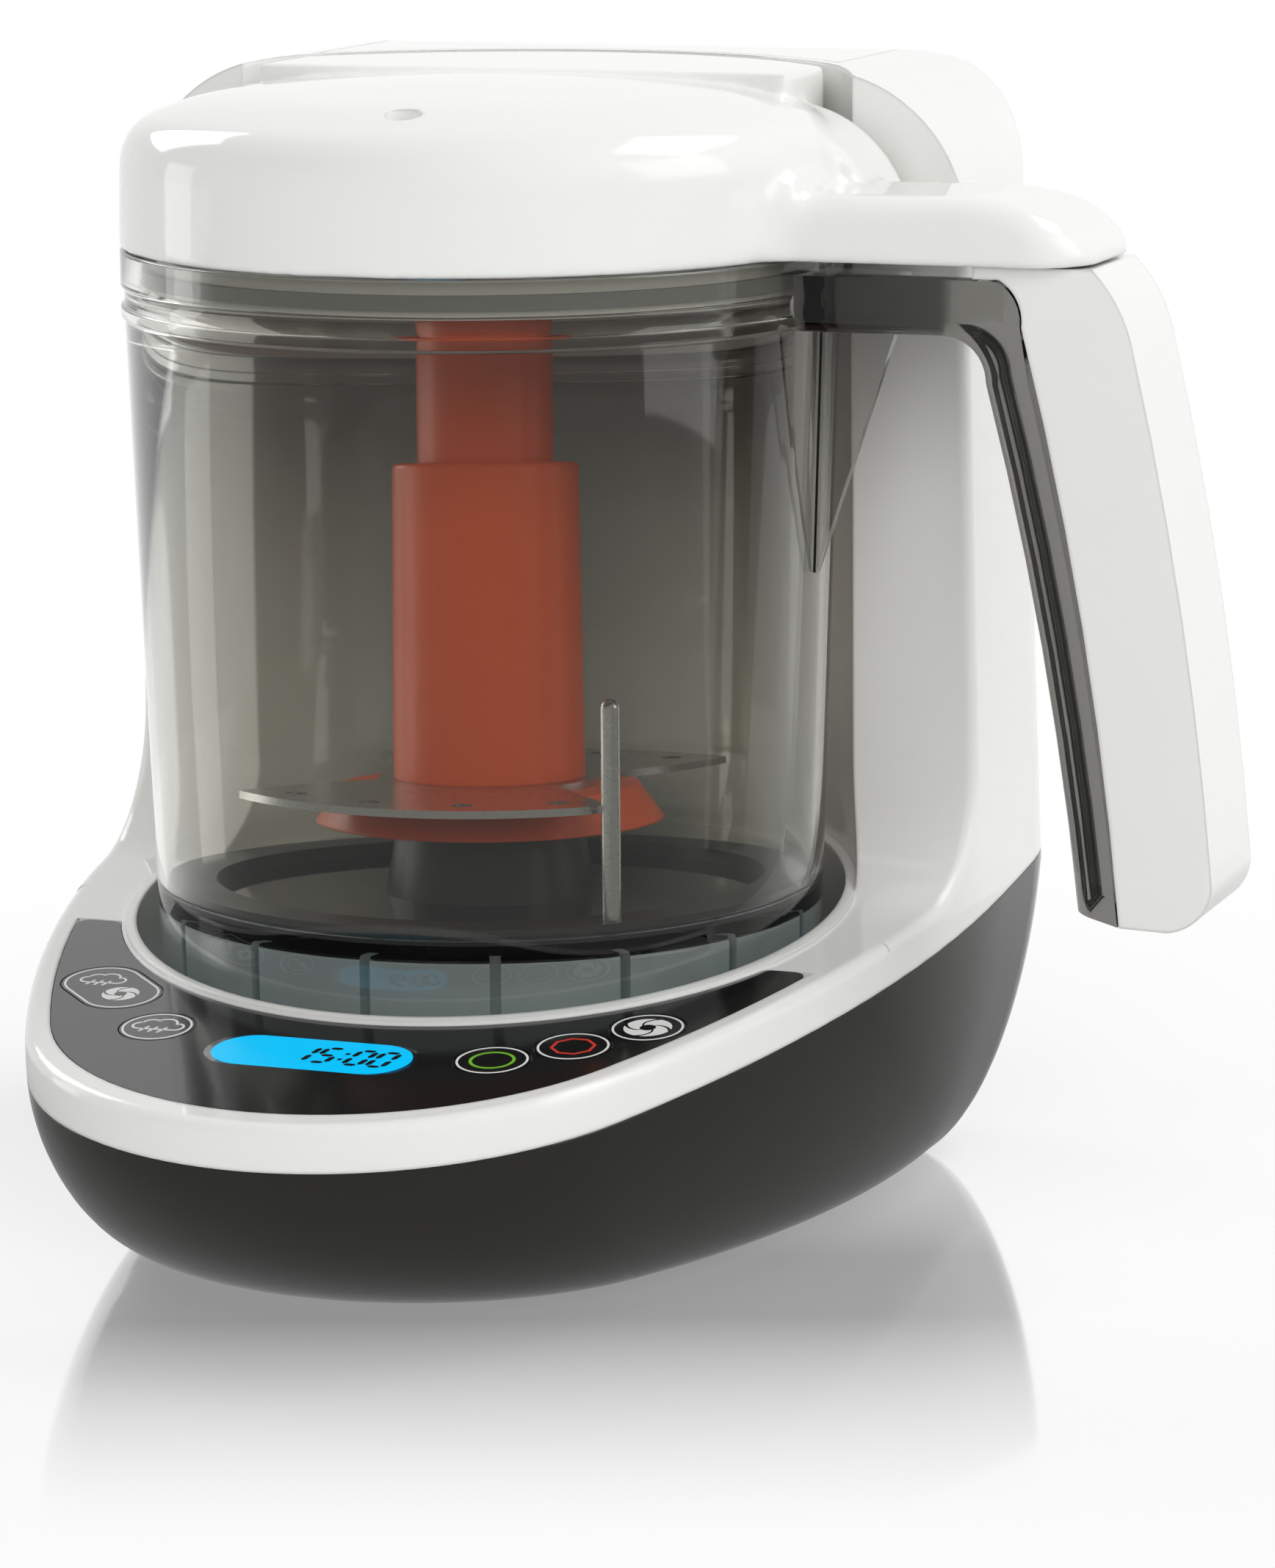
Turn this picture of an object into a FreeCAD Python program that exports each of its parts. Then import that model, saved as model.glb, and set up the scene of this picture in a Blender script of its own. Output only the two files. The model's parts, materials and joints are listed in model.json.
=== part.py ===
import FreeCAD, Part
import math
import os
import Sketcher

# Baby food maker: a steamer and blender in one. Millimetres, +Z up, the floor at z = 0.
# Sketches are drawn about the bowl's axis, with +X towards the handle and -Y towards the
# control panel. Each piece's Placement then moves the origin to the middle of the footprint.

doc = FreeCAD.newDocument("baby_food_maker")

# Driving dimensions

dims = {
    # plan of the body at its widest, measured from the bowl's axis
    "belt_half_width": 88.5,
    "front_reach": 121.0,
    "rear_reach": 97.0,
    "widest_at": 45.0,
    "nose_radius": 65.0,
    "rear_corner": 30.0,
    # how far the hull draws in between the belt and the floor
    "hull_side_inset": 21.0,
    "hull_front_inset": 48.0,
    "hull_rear_inset": 15.0,
    "hull_nose_inset": 13.0,
    "hull_flare": 0.2,
    "side_belt_height": 59.0,
    "front_belt_height": 36.5,
    "tower_taper": 4.0,
    "wall": 2.4,
    "seam_gap": 0.3,
    # feet and bottom
    "foot_height": 2.0,
    "foot_radius": 8.0,
    "foot_side": 42.0,
    "foot_front_side": 20.0,
    "foot_front": 42.0,
    "foot_rear": 54.0,
    "cover_inset": 12.0,
    "cover_thickness": 2.0,
    "cover_ledge": 8.0,
    "vent_length": 40.0,
    "vent_width": 3.0,
    "vent_pitch": 8.0,
    "cover_screw_radius": 1.6,
    "cover_screw_head": 3.0,
    "screw_head_height": 1.2,
    # sloping deck, well and tower
    "deck_height": 60.2,
    "deck_tilt": 7.2,
    "band_height": 8.5,
    "well_radius": 67.9,
    "bead_width": 2.1,
    "bead_height": 0.9,
    "tower_front": 31.0,
    "tower_top": 217.0,
    "lid_drop": 31.0,
    "hinge_drop": 11.4,
    "tank_drop": 14.0,
    "cove_radius": 26.0,
    "shoulder_radius": 30.5,
    "rear_round": 8.5,
    "edge_round": 2.0,
    # seat under the bowl
    "seat_height": 44.5,
    "seat_thickness": 2.5,
    "turret_radius": 31.0,
    "turret_rise": 7.0,
    "seat_screw_radius": 1.6,
    "seat_screw_length": 6.0,
    # control panel, in the plane of the deck
    "panel_border": 5.0,
    "panel_inner": 71.0,
    "panel_end": 28.0,
    "panel_thickness": 1.2,
    "panel_gap": 0.2,
    "panel_end_round": 2.5,
    "key_radius": 6.9,
    "key_gap": 0.3,
    "key_thickness": 0.7,
    "key_travel": 0.4,
    "key_stem_radius": 1.8,
    "wide_key_radius": 7.6,
    "wide_key_spread": 9.0,
    "wide_key_turn": -42.0,
    "key_room": 45.0,
    "start_turn": 21.683,
    "start_share": 0.4071,
    "stop_turn": 31.375,
    "stop_share": 0.3301,
    "blend_turn": 41.593,
    "blend_share": 0.2466,
    "steam_turn": -22.842,
    "steam_share": 0.3513,
    "cycle_turn": -39.215,
    "cycle_share": 0.2148,
    "screen_length": 41.0,
    "screen_width": 15.0,
    "screen_share": 0.3622,
    "board_end": 42.0,
    "board_margin": 3.6,
    "board_depth": 9.0,
    "board_thickness": 1.6,
    "switch_side": 6.0,
    "switch_height": 3.4,
    # motor and drive
    "motor_radius": 26.0,
    "motor_bottom": 9.0,
    "motor_bell": 4.0,
    "motor_boss": 2.0,
    "motor_bracket": 2.0,
    "bracket_radius": 28.0,
    "shaft_radius": 4.0,
    "running_gap": 0.05,
    "bush_radius": 8.0,
    "bush_flange": 1.5,
    "dog_inner": 7.5,
    "dog_outer": 11.0,
    "dog_height": 6.0,
    "dog_gap": 0.4,
    "coupling_radius": 15.0,
    # bowl
    "bowl_top_radius": 67.2,
    "bowl_foot_radius": 63.0,
    "bowl_wall": 2.4,
    "bowl_floor": 64.5,
    "floor_thickness": 2.5,
    "collar_radius": 67.9,
    "collar_height": 12.7,
    "collar_lip": 2.2,
    "collar_groove": 2.6,
    "rib_depth": 2.4,
    "rib_thickness": 1.2,
    "rib_count": 16,
    "ring_width": 9.0,
    "ring_height": 3.0,
    "probe_radius": 1.75,
    "probe_x": 40.0,
    "probe_y": -41.3,
    "probe_top": 109.0,
    "housing_radius": 20.0,
    "housing_top": 78.5,
    "housing_spigot": 13.0,
    # handle, its profile in the plane of the bowl's axis
    "handle_half_width": 14.0,
    "arm_drop": 2.6,
    "arm_depth": 10.9,
    "seam_top_x": 109.5,
    "seam_bottom_x": 128.5,
    "grip_bottom": 66.0,
    "grip_bow": 660.0,
    "core_thickness": 8.5,
    "arm_bend": 8.0,
    "gusset_width": 15.0,
    "gusset_height": 46.0,
    "cover_top_depth": 20.5,
    "cover_bottom_depth": 17.3,
    "cover_tongue": 100.3,
    "grip_round": 7.0,
    # blade and its column
    "blade_height": 87.0,
    "blade_thickness": 1.5,
    "blade_radius": 53.0,
    "blade_root": 21.0,
    "blade_hole": 4.0,
    "wing_start": -128.0,
    "wing_end": -44.0,
    "wing_root_start": -150.0,
    "wing_root_end": -30.0,
    "hole_start": -120.0,
    "hole_step": 22.7,
    "hub_radius": 17.5,
    "hub_top": 145.0,
    "hub_core": 12.0,
    "skirt_radius": 33.0,
    "skirt_bottom": 79.5,
    "column_radius": 12.8,
    "column_drop": 4.5,
    "column_wall": 2.2,
    "spindle_top": 104.0,
    # lid
    "lid_radius": 68.0,
    "lid_draft": 0.4,
    "lid_side": 15.5,
    "corner_in": 7.0,
    "corner_rise": 25.0,
    "corner_arc": 10.2,
    "corner_normal": 70.0,
    "crown_in": 27.0,
    "crown_rise": 29.2,
    "crown_arc": 69.0,
    "crown_normal": 86.6,
    "lid_height": 30.6,
    "lid_wall": 2.4,
    "ear_half_width": 76.0,
    "ear_radius": 25.5,
    "ear_front": 5.0,
    "ear_slot": 2.0,
    "plateau_half_width": 54.0,
    "plateau_front": 19.0,
    "tab_reach": 122.6,
    "tab_half_width": 19.7,
    "tab_height": 12.0,
    "tab_corner": 12.0,
    "tab_round": 5.0,
    "nose_run": 24.0,
    "nose_tip": 1.5,
    "tab_wall": 3.6,
    "plug_depth": 7.0,
    "plug_wall": 2.2,
    "gasket_section": 1.3,
    "steam_hole": 2.0,
    "steam_hole_ring": 35.0,
    "steam_hole_count": 8,
    "vent_radius": 3.2,
    "vent_x": 5.6,
    "vent_y": -50.6,
    "vent_depth": 4.0,
    "vent_bore": 1.6,
    # steam and water
    "port_rise": 10.0,
    "port_angle": 36.0,
    "port_radius": 4.0,
    "port_wall": 1.2,
    "pipe_radius": 3.6,
    "pipe_bend": 9.0,
    "pipe_at": 88.0,
    "tank_gap": 0.8,
    "tank_wall": 1.6,
    "tank_bottom": 100.0,
    "tank_side": 46.0,
    "boiler_width": 18.0,
    "boiler_length": 32.0,
    "boiler_y": 56.0,
    "boiler_height": 46.0,
    "boiler_bottom": 50.0,
    "boiler_round": 4.0,
    "hinge_radius": 2.0,
    "hinge_pin_radius": 1.0,
    "knuckle_half": 9.7,
    "barrel_end": 24.0,
    # power
    "inlet_width": 22.0,
    "inlet_height": 12.0,
    "inlet_z": 27.0,
    "inlet_x": -38.0,
    "inlet_depth": 14.0,
    "socket_spread": 6.0,
    "socket_radius": 3.0,
    "power_x": -34.0,
    "power_y": 39.0,
    "power_width": 20.0,
    "power_length": 40.0,
    "transformer_height": 18.0,
    "capacitor_radius": 6.0,
    "capacitor_height": 12.0,
}

sheet = doc.addObject("Spreadsheet::Sheet", "Dims")
for row, (alias, value) in enumerate(dims.items(), start=1):
    sheet.set("A%d" % row, alias)
    sheet.set("B%d" % row, str(value))
    sheet.setAlias("B%d" % row, alias)
doc.recompute()


class Size:
    # A length, angle or ratio with the sheet formula that it comes from
    def __init__(self, value, formula):
        self.value = float(value)
        self.formula = formula

    def __add__(self, other):
        other = size(other)
        return Size(self.value + other.value, "(%s + %s)" % (self.formula, other.formula))

    def __sub__(self, other):
        other = size(other)
        return Size(self.value - other.value, "(%s - %s)" % (self.formula, other.formula))

    def __mul__(self, other):
        other = size(other)
        return Size(self.value * other.value, "(%s * %s)" % (self.formula, other.formula))

    def __truediv__(self, other):
        other = size(other)
        return Size(self.value / other.value, "(%s / %s)" % (self.formula, other.formula))

    def __neg__(self):
        return Size(-self.value, "(-1 * %s)" % self.formula)

    __radd__ = __add__

    def __rsub__(self, other):
        return size(other) - self

    __rmul__ = __mul__


def size(number):
    if isinstance(number, Size):
        return number
    return Size(number, "(%.6f)" % number)


def root(number):
    return Size(math.sqrt(number.value), "sqrt(%s)" % number.formula)


def clamp(number):
    # kept between 0 and 1
    value = min(1.0, max(0.0, number.value))
    return Size(value, "min(1; max(0; %s))" % number.formula)


def sine(angle):
    return Size(math.sin(math.radians(angle.value)), "sin(%s)" % angle.formula)


def cosine(angle):
    return Size(math.cos(math.radians(angle.value)), "cos(%s)" % angle.formula)


class Dims:
    pass


d = Dims()
for alias, value in dims.items():
    setattr(d, alias, Size(value, "Dims." + alias))


# Sketch helpers

PLANE_TURNS = {
    "XY": FreeCAD.Rotation(),
    "XZ": FreeCAD.Rotation(FreeCAD.Vector(1, 0, 0), 90),
    "YZ": FreeCAD.Rotation(FreeCAD.Vector(1, 1, 1), 120),
}


def pin_point(sketch, geometry, end, x, y):
    # Hold one end of a line or arc, or a circle's centre, at (x, y)
    for kind, axis, at in (("DistanceX", -2, size(x)), ("DistanceY", -1, size(y))):
        if abs(at.value) < 1e-9:
            sketch.addConstraint(Sketcher.Constraint("PointOnObject", geometry, end, axis))
        elif at.value > 0:
            index = sketch.addConstraint(Sketcher.Constraint(kind, -1, 1, geometry, end, at.value))
            sketch.setExpression("Constraints[%d]" % index, at.formula)
        else:
            index = sketch.addConstraint(Sketcher.Constraint(kind, geometry, end, -1, 1, -at.value))
            sketch.setExpression("Constraints[%d]" % index, "-1 * " + at.formula)


def fix_radius(sketch, geometry, radius):
    index = sketch.addConstraint(Sketcher.Constraint("Radius", geometry, radius.value))
    sketch.setExpression("Constraints[%d]" % index, radius.formula)


def outline(sketch, path):
    # Closed outline. A step (x, y) is reached by a line, and a step (x, y, radius, turn) by an
    # arc of that radius, turning left where turn is 1 and right where it is -1.
    ends = []
    for step, last in zip(path, path[-1:] + path[:-1]):
        start = FreeCAD.Vector(size(last[0]).value, size(last[1]).value, 0)
        stop = FreeCAD.Vector(size(step[0]).value, size(step[1]).value, 0)
        if len(step) == 2:
            geometry = sketch.addGeometry(Part.LineSegment(start, stop))
            ends.append((geometry, 1, 2))
            continue
        radius, turn = size(step[2]), step[3]
        chord = stop - start
        rise = math.sqrt(radius.value ** 2 - (chord.Length / 2) ** 2)
        left = FreeCAD.Vector(-chord.y, chord.x, 0).normalize()
        centre = (start + stop) * 0.5 + left * (rise * turn)
        circle = Part.Circle(centre, FreeCAD.Vector(0, 0, 1), radius.value)
        first, second = (start, stop) if turn > 0 else (stop, start)
        angles = [math.atan2(p.y - centre.y, p.x - centre.x) for p in (first, second)]
        geometry = sketch.addGeometry(Part.ArcOfCircle(circle, angles[0], angles[1]))
        ends.append((geometry, 1, 2) if turn > 0 else (geometry, 2, 1))
        fix_radius(sketch, geometry, radius)
    for (geometry, start, stop), (following, begin, _), step in zip(ends, ends[1:] + ends[:1], path):
        sketch.addConstraint(Sketcher.Constraint("Coincident", geometry, stop, following, begin))
        pin_point(sketch, geometry, stop, step[0], step[1])


def disc(sketch, x, y, radius):
    centre = FreeCAD.Vector(size(x).value, size(y).value, 0)
    geometry = sketch.addGeometry(Part.Circle(centre, FreeCAD.Vector(0, 0, 1), radius.value))
    pin_point(sketch, geometry, 3, x, y)
    fix_radius(sketch, geometry, radius)


def rectangle(sketch, x0, y0, x1, y1):
    outline(sketch, [(x0, y0), (x1, y0), (x1, y1), (x0, y1)])


# Loose profiles and solids for booleans

def profile(name, plane, draw, at=None):
    sketch = doc.addObject("Sketcher::SketchObject", name)
    sketch.Placement = FreeCAD.Placement(FreeCAD.Vector(), PLANE_TURNS[plane])
    draw(sketch)
    if at is not None:
        sketch.setExpression("Placement.Base.z", at.formula)
    return sketch


def extrusion(name, base, length, symmetric=False):
    solid = doc.addObject("Part::Extrusion", name)
    solid.Base = base
    solid.DirMode = "Normal"
    solid.Solid = True
    solid.Symmetric = symmetric
    solid.setExpression("LengthFwd", size(length).formula)
    return solid


def cylinder(name, radius, bottom, top, x=None, y=None):
    solid = doc.addObject("Part::Cylinder", name)
    solid.setExpression("Radius", radius.formula)
    solid.setExpression("Height", (size(top) - bottom).formula)
    solid.setExpression("Placement.Base.z", size(bottom).formula)
    if x is not None:
        solid.setExpression("Placement.Base.x", size(x).formula)
        solid.setExpression("Placement.Base.y", size(y).formula)
    return solid


def box(name, low, high):
    solid = doc.addObject("Part::Box", name)
    for side, axis, start, stop in zip(("Length", "Width", "Height"), "xyz", low, high):
        solid.setExpression(side, (size(stop) - start).formula)
        solid.setExpression("Placement.Base." + axis, size(start).formula)
    return solid


def boolean(kind, name, *shapes):
    solid = doc.addObject("Part::" + kind, name)
    if kind == "Cut":
        solid.Base, solid.Tool = shapes
    else:
        solid.Shapes = list(shapes)
    return solid


# Bodies and their features

def body(label):
    piece = doc.addObject("PartDesign::Body", label)
    piece.Label = label
    return piece


def sketch_in(piece, plane, name, draw, at=None):
    sketch = piece.newObject("Sketcher::SketchObject", piece.Name + "_" + name)
    role = plane + "_Plane"
    datum = [feature for feature in piece.Origin.OriginFeatures if feature.Role == role][0]
    sketch.AttachmentSupport = [(datum, "")]
    sketch.MapMode = "FlatFace"
    if at is not None:
        sketch.setExpression("AttachmentOffset.Base.z", size(at).formula)
    draw(sketch)
    return sketch


def pad(piece, sketch, length, name="pad", symmetric=False):
    feature = piece.newObject("PartDesign::Pad", piece.Name + "_" + name)
    feature.Profile = sketch
    feature.setExpression("Length", size(length).formula)
    feature.Midplane = symmetric
    return feature


def pocket(piece, sketch, length, name="pocket", up=False):
    # Cuts down from the sketch, or up from it
    feature = piece.newObject("PartDesign::Pocket", piece.Name + "_" + name)
    feature.Profile = sketch
    feature.Reversed = up
    feature.setExpression("Length", size(length).formula)
    return feature


def turn(piece, path, name="turn", cut=False):
    # A profile of (radius, height) steps turned about the piece's Z axis
    sketch = sketch_in(piece, "XZ", name + "_profile", lambda s: outline(s, path))
    kind = "PartDesign::Groove" if cut else "PartDesign::Revolution"
    feature = piece.newObject(kind, piece.Name + "_" + name)
    feature.Profile = sketch
    feature.ReferenceAxis = (sketch, ["V_Axis"])
    feature.Angle = 360
    return feature


def ring(piece, inner, outer, bottom, top, name="turn"):
    return turn(piece, [(inner, bottom), (outer, bottom), (outer, top), (inner, top)], name)


def around(piece, feature, count, name="pattern"):
    pattern = piece.newObject("PartDesign::PolarPattern", piece.Name + "_" + name)
    pattern.Originals = [feature]
    axis = [item for item in piece.Origin.OriginFeatures if item.Role == "Z_Axis"][0]
    pattern.Axis = (axis, [""])
    pattern.Angle = 360
    pattern.setExpression("Occurrences", size(count).formula)
    piece.Tip = pattern
    return pattern


def edges_where(shape, test):
    # Names of the edges whose middle point passes the test
    names = []
    for number, edge in enumerate(shape.Edges, start=1):
        middle = edge.valueAt((edge.FirstParameter + edge.LastParameter) / 2)
        if test(edge, middle):
            names.append("Edge%d" % number)
    return names


def fillet(piece, feature, test, radius, name="round"):
    doc.recompute()
    rounded = piece.newObject("PartDesign::Fillet", piece.Name + "_" + name)
    rounded.Base = (feature, edges_where(feature.Shape, test))
    rounded.setExpression("Radius", radius.formula)
    return rounded


def rounded(name, solid, test, radius):
    # A loose solid with some of its edges rounded
    doc.recompute()
    smooth = doc.addObject("Part::Fillet", name)
    smooth.Base = solid
    numbers = [int(edge.removeprefix("Edge")) for edge in edges_where(solid.Shape, test)]
    smooth.Edges = [(number, radius.value, radius.value) for number in numbers]
    return smooth


def is_upright(edge):
    # True for a straight edge along Z
    if not isinstance(edge.Curve, Part.Line):
        return False
    return abs(abs(edge.Curve.Direction.z) - 1) < 1e-6


pieces = []


def keep(piece, label=None):
    # Take a finished piece into the list of parts, shifted to the footprint's middle
    if label:
        piece.Label = label
    pieces.append(piece)
    return piece


# Where the bowl's axis stands in the finished part
handle_reach = d.seam_bottom_x + d.cover_bottom_depth
shift_x = (d.belt_half_width - handle_reach) / 2
shift_y = (d.front_reach - d.rear_reach) / 2
hull_bottom = d.foot_height

# Heights that follow the tower's top
lid_plane = d.tower_top - d.lid_drop
hinge_height = d.tower_top - d.hinge_drop
tank_top = d.tower_top - d.tank_drop
arm_top = lid_plane - d.arm_drop
arm_bottom = arm_top - d.arm_depth
column_top = lid_plane - d.column_drop
port_height = lid_plane + d.port_rise


# The body's outer form: plan outlines at several heights, lofted

def plan_sizes(height, inset):
    # Half-width, front, rear, nose radius, side radius and corner of the outline at a height
    def drawn_in(belt):
        low = clamp((belt - height) / (belt - hull_bottom))
        return low * d.hull_flare + (1 - root(1 - low * low)) * (1 - d.hull_flare)
    side, front = drawn_in(d.side_belt_height), drawn_in(d.front_belt_height)
    above = clamp((height - d.side_belt_height) / (d.tower_top - d.side_belt_height))
    taper = d.tower_taper * above
    half = d.belt_half_width - d.hull_side_inset * side - taper - inset
    nose_y = inset - d.front_reach + d.hull_front_inset * front
    rear_y = d.rear_reach - d.hull_rear_inset * side - taper - inset
    nose = d.nose_radius - d.hull_nose_inset * side - inset
    run = d.widest_at - nose_y - nose
    flank = (half * half + run * run - nose * nose) / ((half - nose) * 2)
    return half, nose_y, rear_y, nose, flank, d.rear_corner - inset


def nose_join(half, nose_y, nose, flank):
    # Point where the nose's arc meets the flank's arc, on the +X side
    centre_y = nose_y + nose
    run_x, run_y = flank - half, centre_y - d.widest_at
    reach = nose / (flank - nose)
    return run_x * reach, centre_y + run_y * reach


def plan(height, inset):
    half, nose_y, rear_y, nose, flank, corner = plan_sizes(height, size(inset))
    join_x, join_y = nose_join(half, nose_y, nose, flank)

    def draw(sketch):
        outline(sketch, [
            (join_x, join_y, nose, 1), (half, d.widest_at, flank, 1), (half, rear_y - corner),
            (half - corner, rear_y, corner, 1), (corner - half, rear_y),
            (-half, rear_y - corner, corner, 1), (-half, d.widest_at), (-join_x, join_y, flank, 1)])
    return draw


# The hull's levels crowd together towards the floor, where it draws in fastest
hull_steps = 8
hull_span = d.side_belt_height - hull_bottom
hull_levels = [hull_bottom + hull_span * (step / hull_steps) ** 2 for step in range(hull_steps + 1)]
tower_levels = [d.side_belt_height, d.tower_top]


def loft(name, levels, inset):
    solid = doc.addObject("Part::Loft", name)
    solid.Sections = [profile("%s_level%d" % (name, number), "XY", plan(height, inset), height)
                      for number, height in enumerate(levels)]
    solid.Solid = True
    solid.Ruled = len(levels) == 2
    return solid


def envelope(name, inset):
    return boolean("MultiFuse", name, loft(name + "_hull", hull_levels, inset),
                   loft(name + "_tower", tower_levels, inset))


def deck_at(y):
    return d.deck_height + sine(d.deck_tilt) / cosine(d.deck_tilt) * y


far = d.front_reach + d.rear_reach + d.tower_top
wide = d.belt_half_width * 4


def deck_slab(name, low, high):
    # Everything between two planes that lie along the deck, low and high above it
    def draw(sketch):
        outline(sketch, [(-far, deck_at(-far) + low), (far, deck_at(far) + low),
                         (far, deck_at(far) + high), (-far, deck_at(-far) + high)])
    return extrusion(name, profile(name + "_profile", "YZ", draw), wide, True)


rear_top = d.rear_reach - d.tower_taper


def side_view(name, inset):
    # Deck, cove, tower front, top and rounded rear edge, seen from the side
    front = d.tower_front + inset
    cove = d.cove_radius + inset
    cove_y = front - cove
    cove_z = deck_at(cove_y) - inset / cosine(d.deck_tilt) + cove / cosine(d.deck_tilt)
    deck_y = cove_y + cove * sine(d.deck_tilt)
    deck_z = cove_z - cove * cosine(d.deck_tilt)
    top = d.tower_top - inset
    rear = rear_top - inset
    curve = d.rear_round - inset / 2
    deck_front = deck_z - (deck_y + far) * sine(d.deck_tilt) / cosine(d.deck_tilt)

    def draw(sketch):
        outline(sketch, [(-far, -far), (far, -far), (far, hinge_height), (rear, hinge_height),
                         (rear, top - curve), (rear - curve, top, curve, 1), (front, top),
                         (front, cove_z), (deck_y, deck_z, cove, -1), (-far, deck_front)])
    return extrusion(name, profile(name + "_profile", "YZ", draw), wide, True)


def front_view(name, half, radius, top):
    # The rounded shoulders, seen from the front, with nothing cut away below them
    middle = half - radius
    springing = top - radius

    def draw(sketch):
        outline(sketch, [(-far, -far), (far, -far), (far, springing), (half, springing),
                         (middle, top, radius, 1), (-middle, top), (-half, springing, radius, 1),
                         (-far, springing)])
    return extrusion(name, profile(name + "_profile", "XZ", draw), far * 2, True)


def wall_half(height):
    # Half-width of the tower's tapered sides at a height
    rise = (height - d.side_belt_height) / (d.tower_top - d.side_belt_height)
    return d.belt_half_width - d.tower_taper * rise


shoulder_half = wall_half(d.tower_top - d.shoulder_radius)


def body_form(name, inset):
    # The white housing's form above the hull, drawn in by inset
    inset = size(inset)
    return boolean("MultiCommon", name, envelope(name + "_plan", inset),
                   side_view(name + "_side", inset), front_view(name + "_front", shoulder_half - inset,
                              d.shoulder_radius - inset, d.tower_top - inset))


def deck_turn():
    return FreeCAD.Rotation(FreeCAD.Vector(1, 0, 0), d.deck_tilt.value)


def lay_on_deck(item, depth=0.0, x=0.0, y=0.0):
    # Put an item's XY plane along the deck, depth below it. Its origin is on the bowl's axis.
    depth = size(depth)
    item.Placement = FreeCAD.Placement(FreeCAD.Vector(), deck_turn())
    item.setExpression("Placement.Rotation.Angle", d.deck_tilt.formula)
    item.setExpression("Placement.Base.x", size(x).formula)
    item.setExpression("Placement.Base.y", (size(y) + depth * sine(d.deck_tilt)).formula)
    item.setExpression("Placement.Base.z", (d.deck_height - depth * cosine(d.deck_tilt)).formula)


def deck_tool(name, draw, depth, length):
    # A solid that stands on the plane depth below the deck, square to it
    sketch = profile(name + "_profile", "XY", draw)
    lay_on_deck(sketch, depth)
    return extrusion(name, sketch, length)


def slot(sketch, x, y, spread, radius, angle=size(0)):
    # Two half circles joined by straight sides, each half circle drawn as two quarters
    along_x, along_y = cosine(angle), sine(angle)

    def at(along, across):
        return (x + along_x * along - along_y * across, y + along_y * along + along_x * across)
    half = spread / 2
    tip = half + radius
    outline(sketch, [at(-half, -radius) + (radius, 1), at(half, -radius), at(tip, size(0)) + (radius, 1),
                     at(half, radius) + (radius, 1), at(-half, radius), at(-tip, size(0)) + (radius, 1)])


concave = d.well_radius + d.bead_width
seat_bottom = d.seat_height - d.seat_thickness
turret_top = d.seat_height + d.turret_rise
ledge_top = hull_bottom + d.cover_thickness + d.wall


# Lower housing: the dark hull, open at the top, with a ledge for the bottom cover

screw_inset = d.cover_inset + d.cover_ledge / 2
screw_half, screw_nose, screw_rear = plan_sizes(hull_bottom, screw_inset)[:3]
cover_screw_spots = [(size(0), screw_nose), (size(0), screw_rear),
                     (screw_half, d.widest_at), (-screw_half, d.widest_at)]


def cover_screw_holes(sketch):
    for x, y in cover_screw_spots:
        disc(sketch, x, y, d.cover_screw_radius + d.running_gap)


hull = boolean("MultiCommon", "hull", envelope("hull_plan", 0),
               deck_slab("below_seam", -far, -d.band_height))
hull_room = boolean("MultiCommon", "hull_room", envelope("hull_room_plan", d.wall),
                    box("hull_room_box", (-wide, -wide, ledge_top), (wide, wide, far)))
ledge_outline = profile("ledge_outline", "XY", plan(hull_bottom, d.cover_inset + d.cover_ledge))
ledge_hole = extrusion("ledge_hole", ledge_outline, ledge_top * 2)
recess_outline = profile("recess_outline", "XY", plan(hull_bottom, d.cover_inset))
cover_recess = extrusion("cover_recess", recess_outline, hull_bottom + d.cover_thickness)
ledge_screws = profile("ledge_screws", "XY", cover_screw_holes)
ledge_screw_holes = extrusion("ledge_screw_holes", ledge_screws, ledge_top * 2)
inlet_low, inlet_high = d.inlet_z - d.inlet_height / 2, d.inlet_z + d.inlet_height / 2
inlet_left, inlet_right = d.inlet_x - d.inlet_width / 2, d.inlet_x + d.inlet_width / 2
inlet_hole = box("inlet_hole", (inlet_left, d.rear_reach - d.inlet_depth * 2, inlet_low),
                 (inlet_right, d.rear_reach * 2, inlet_high))
keep(boolean("Cut", "lower_housing", boolean("Cut", "hull_shell", hull, hull_room),
             boolean("MultiFuse", "hull_cuts", ledge_hole, cover_recess, ledge_screw_holes, inlet_hole)))


# Bottom cover with air slots, screw holes and posts for the power board

post_radius = d.cover_screw_head
board_lift = d.inlet_z - d.inlet_height
post_spots = [(x, y) for x in (d.power_x - d.power_width / 2 + post_radius,
                               d.power_x + d.power_width / 2 - post_radius)
              for y in (d.power_y - d.power_length / 2 + post_radius,
                        d.power_y + d.power_length / 2 - post_radius)]


def cover_plan(sketch):
    plan(hull_bottom, d.cover_inset + d.seam_gap)(sketch)
    cover_screw_holes(sketch)
    for step in (-2, -1, 0, 1, 2):
        slot(sketch, size(0), d.vent_pitch * step, d.vent_length, d.vent_width / 2)


def post_plan(sketch):
    for x, y in post_spots:
        disc(sketch, x, y, post_radius)


cover = body("bottom_cover")
pad(cover, sketch_in(cover, "XY", "plan", cover_plan, hull_bottom), d.cover_thickness)
pad(cover, sketch_in(cover, "XY", "posts", post_plan, hull_bottom), board_lift - hull_bottom, "post_pad")
keep(cover)

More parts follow.
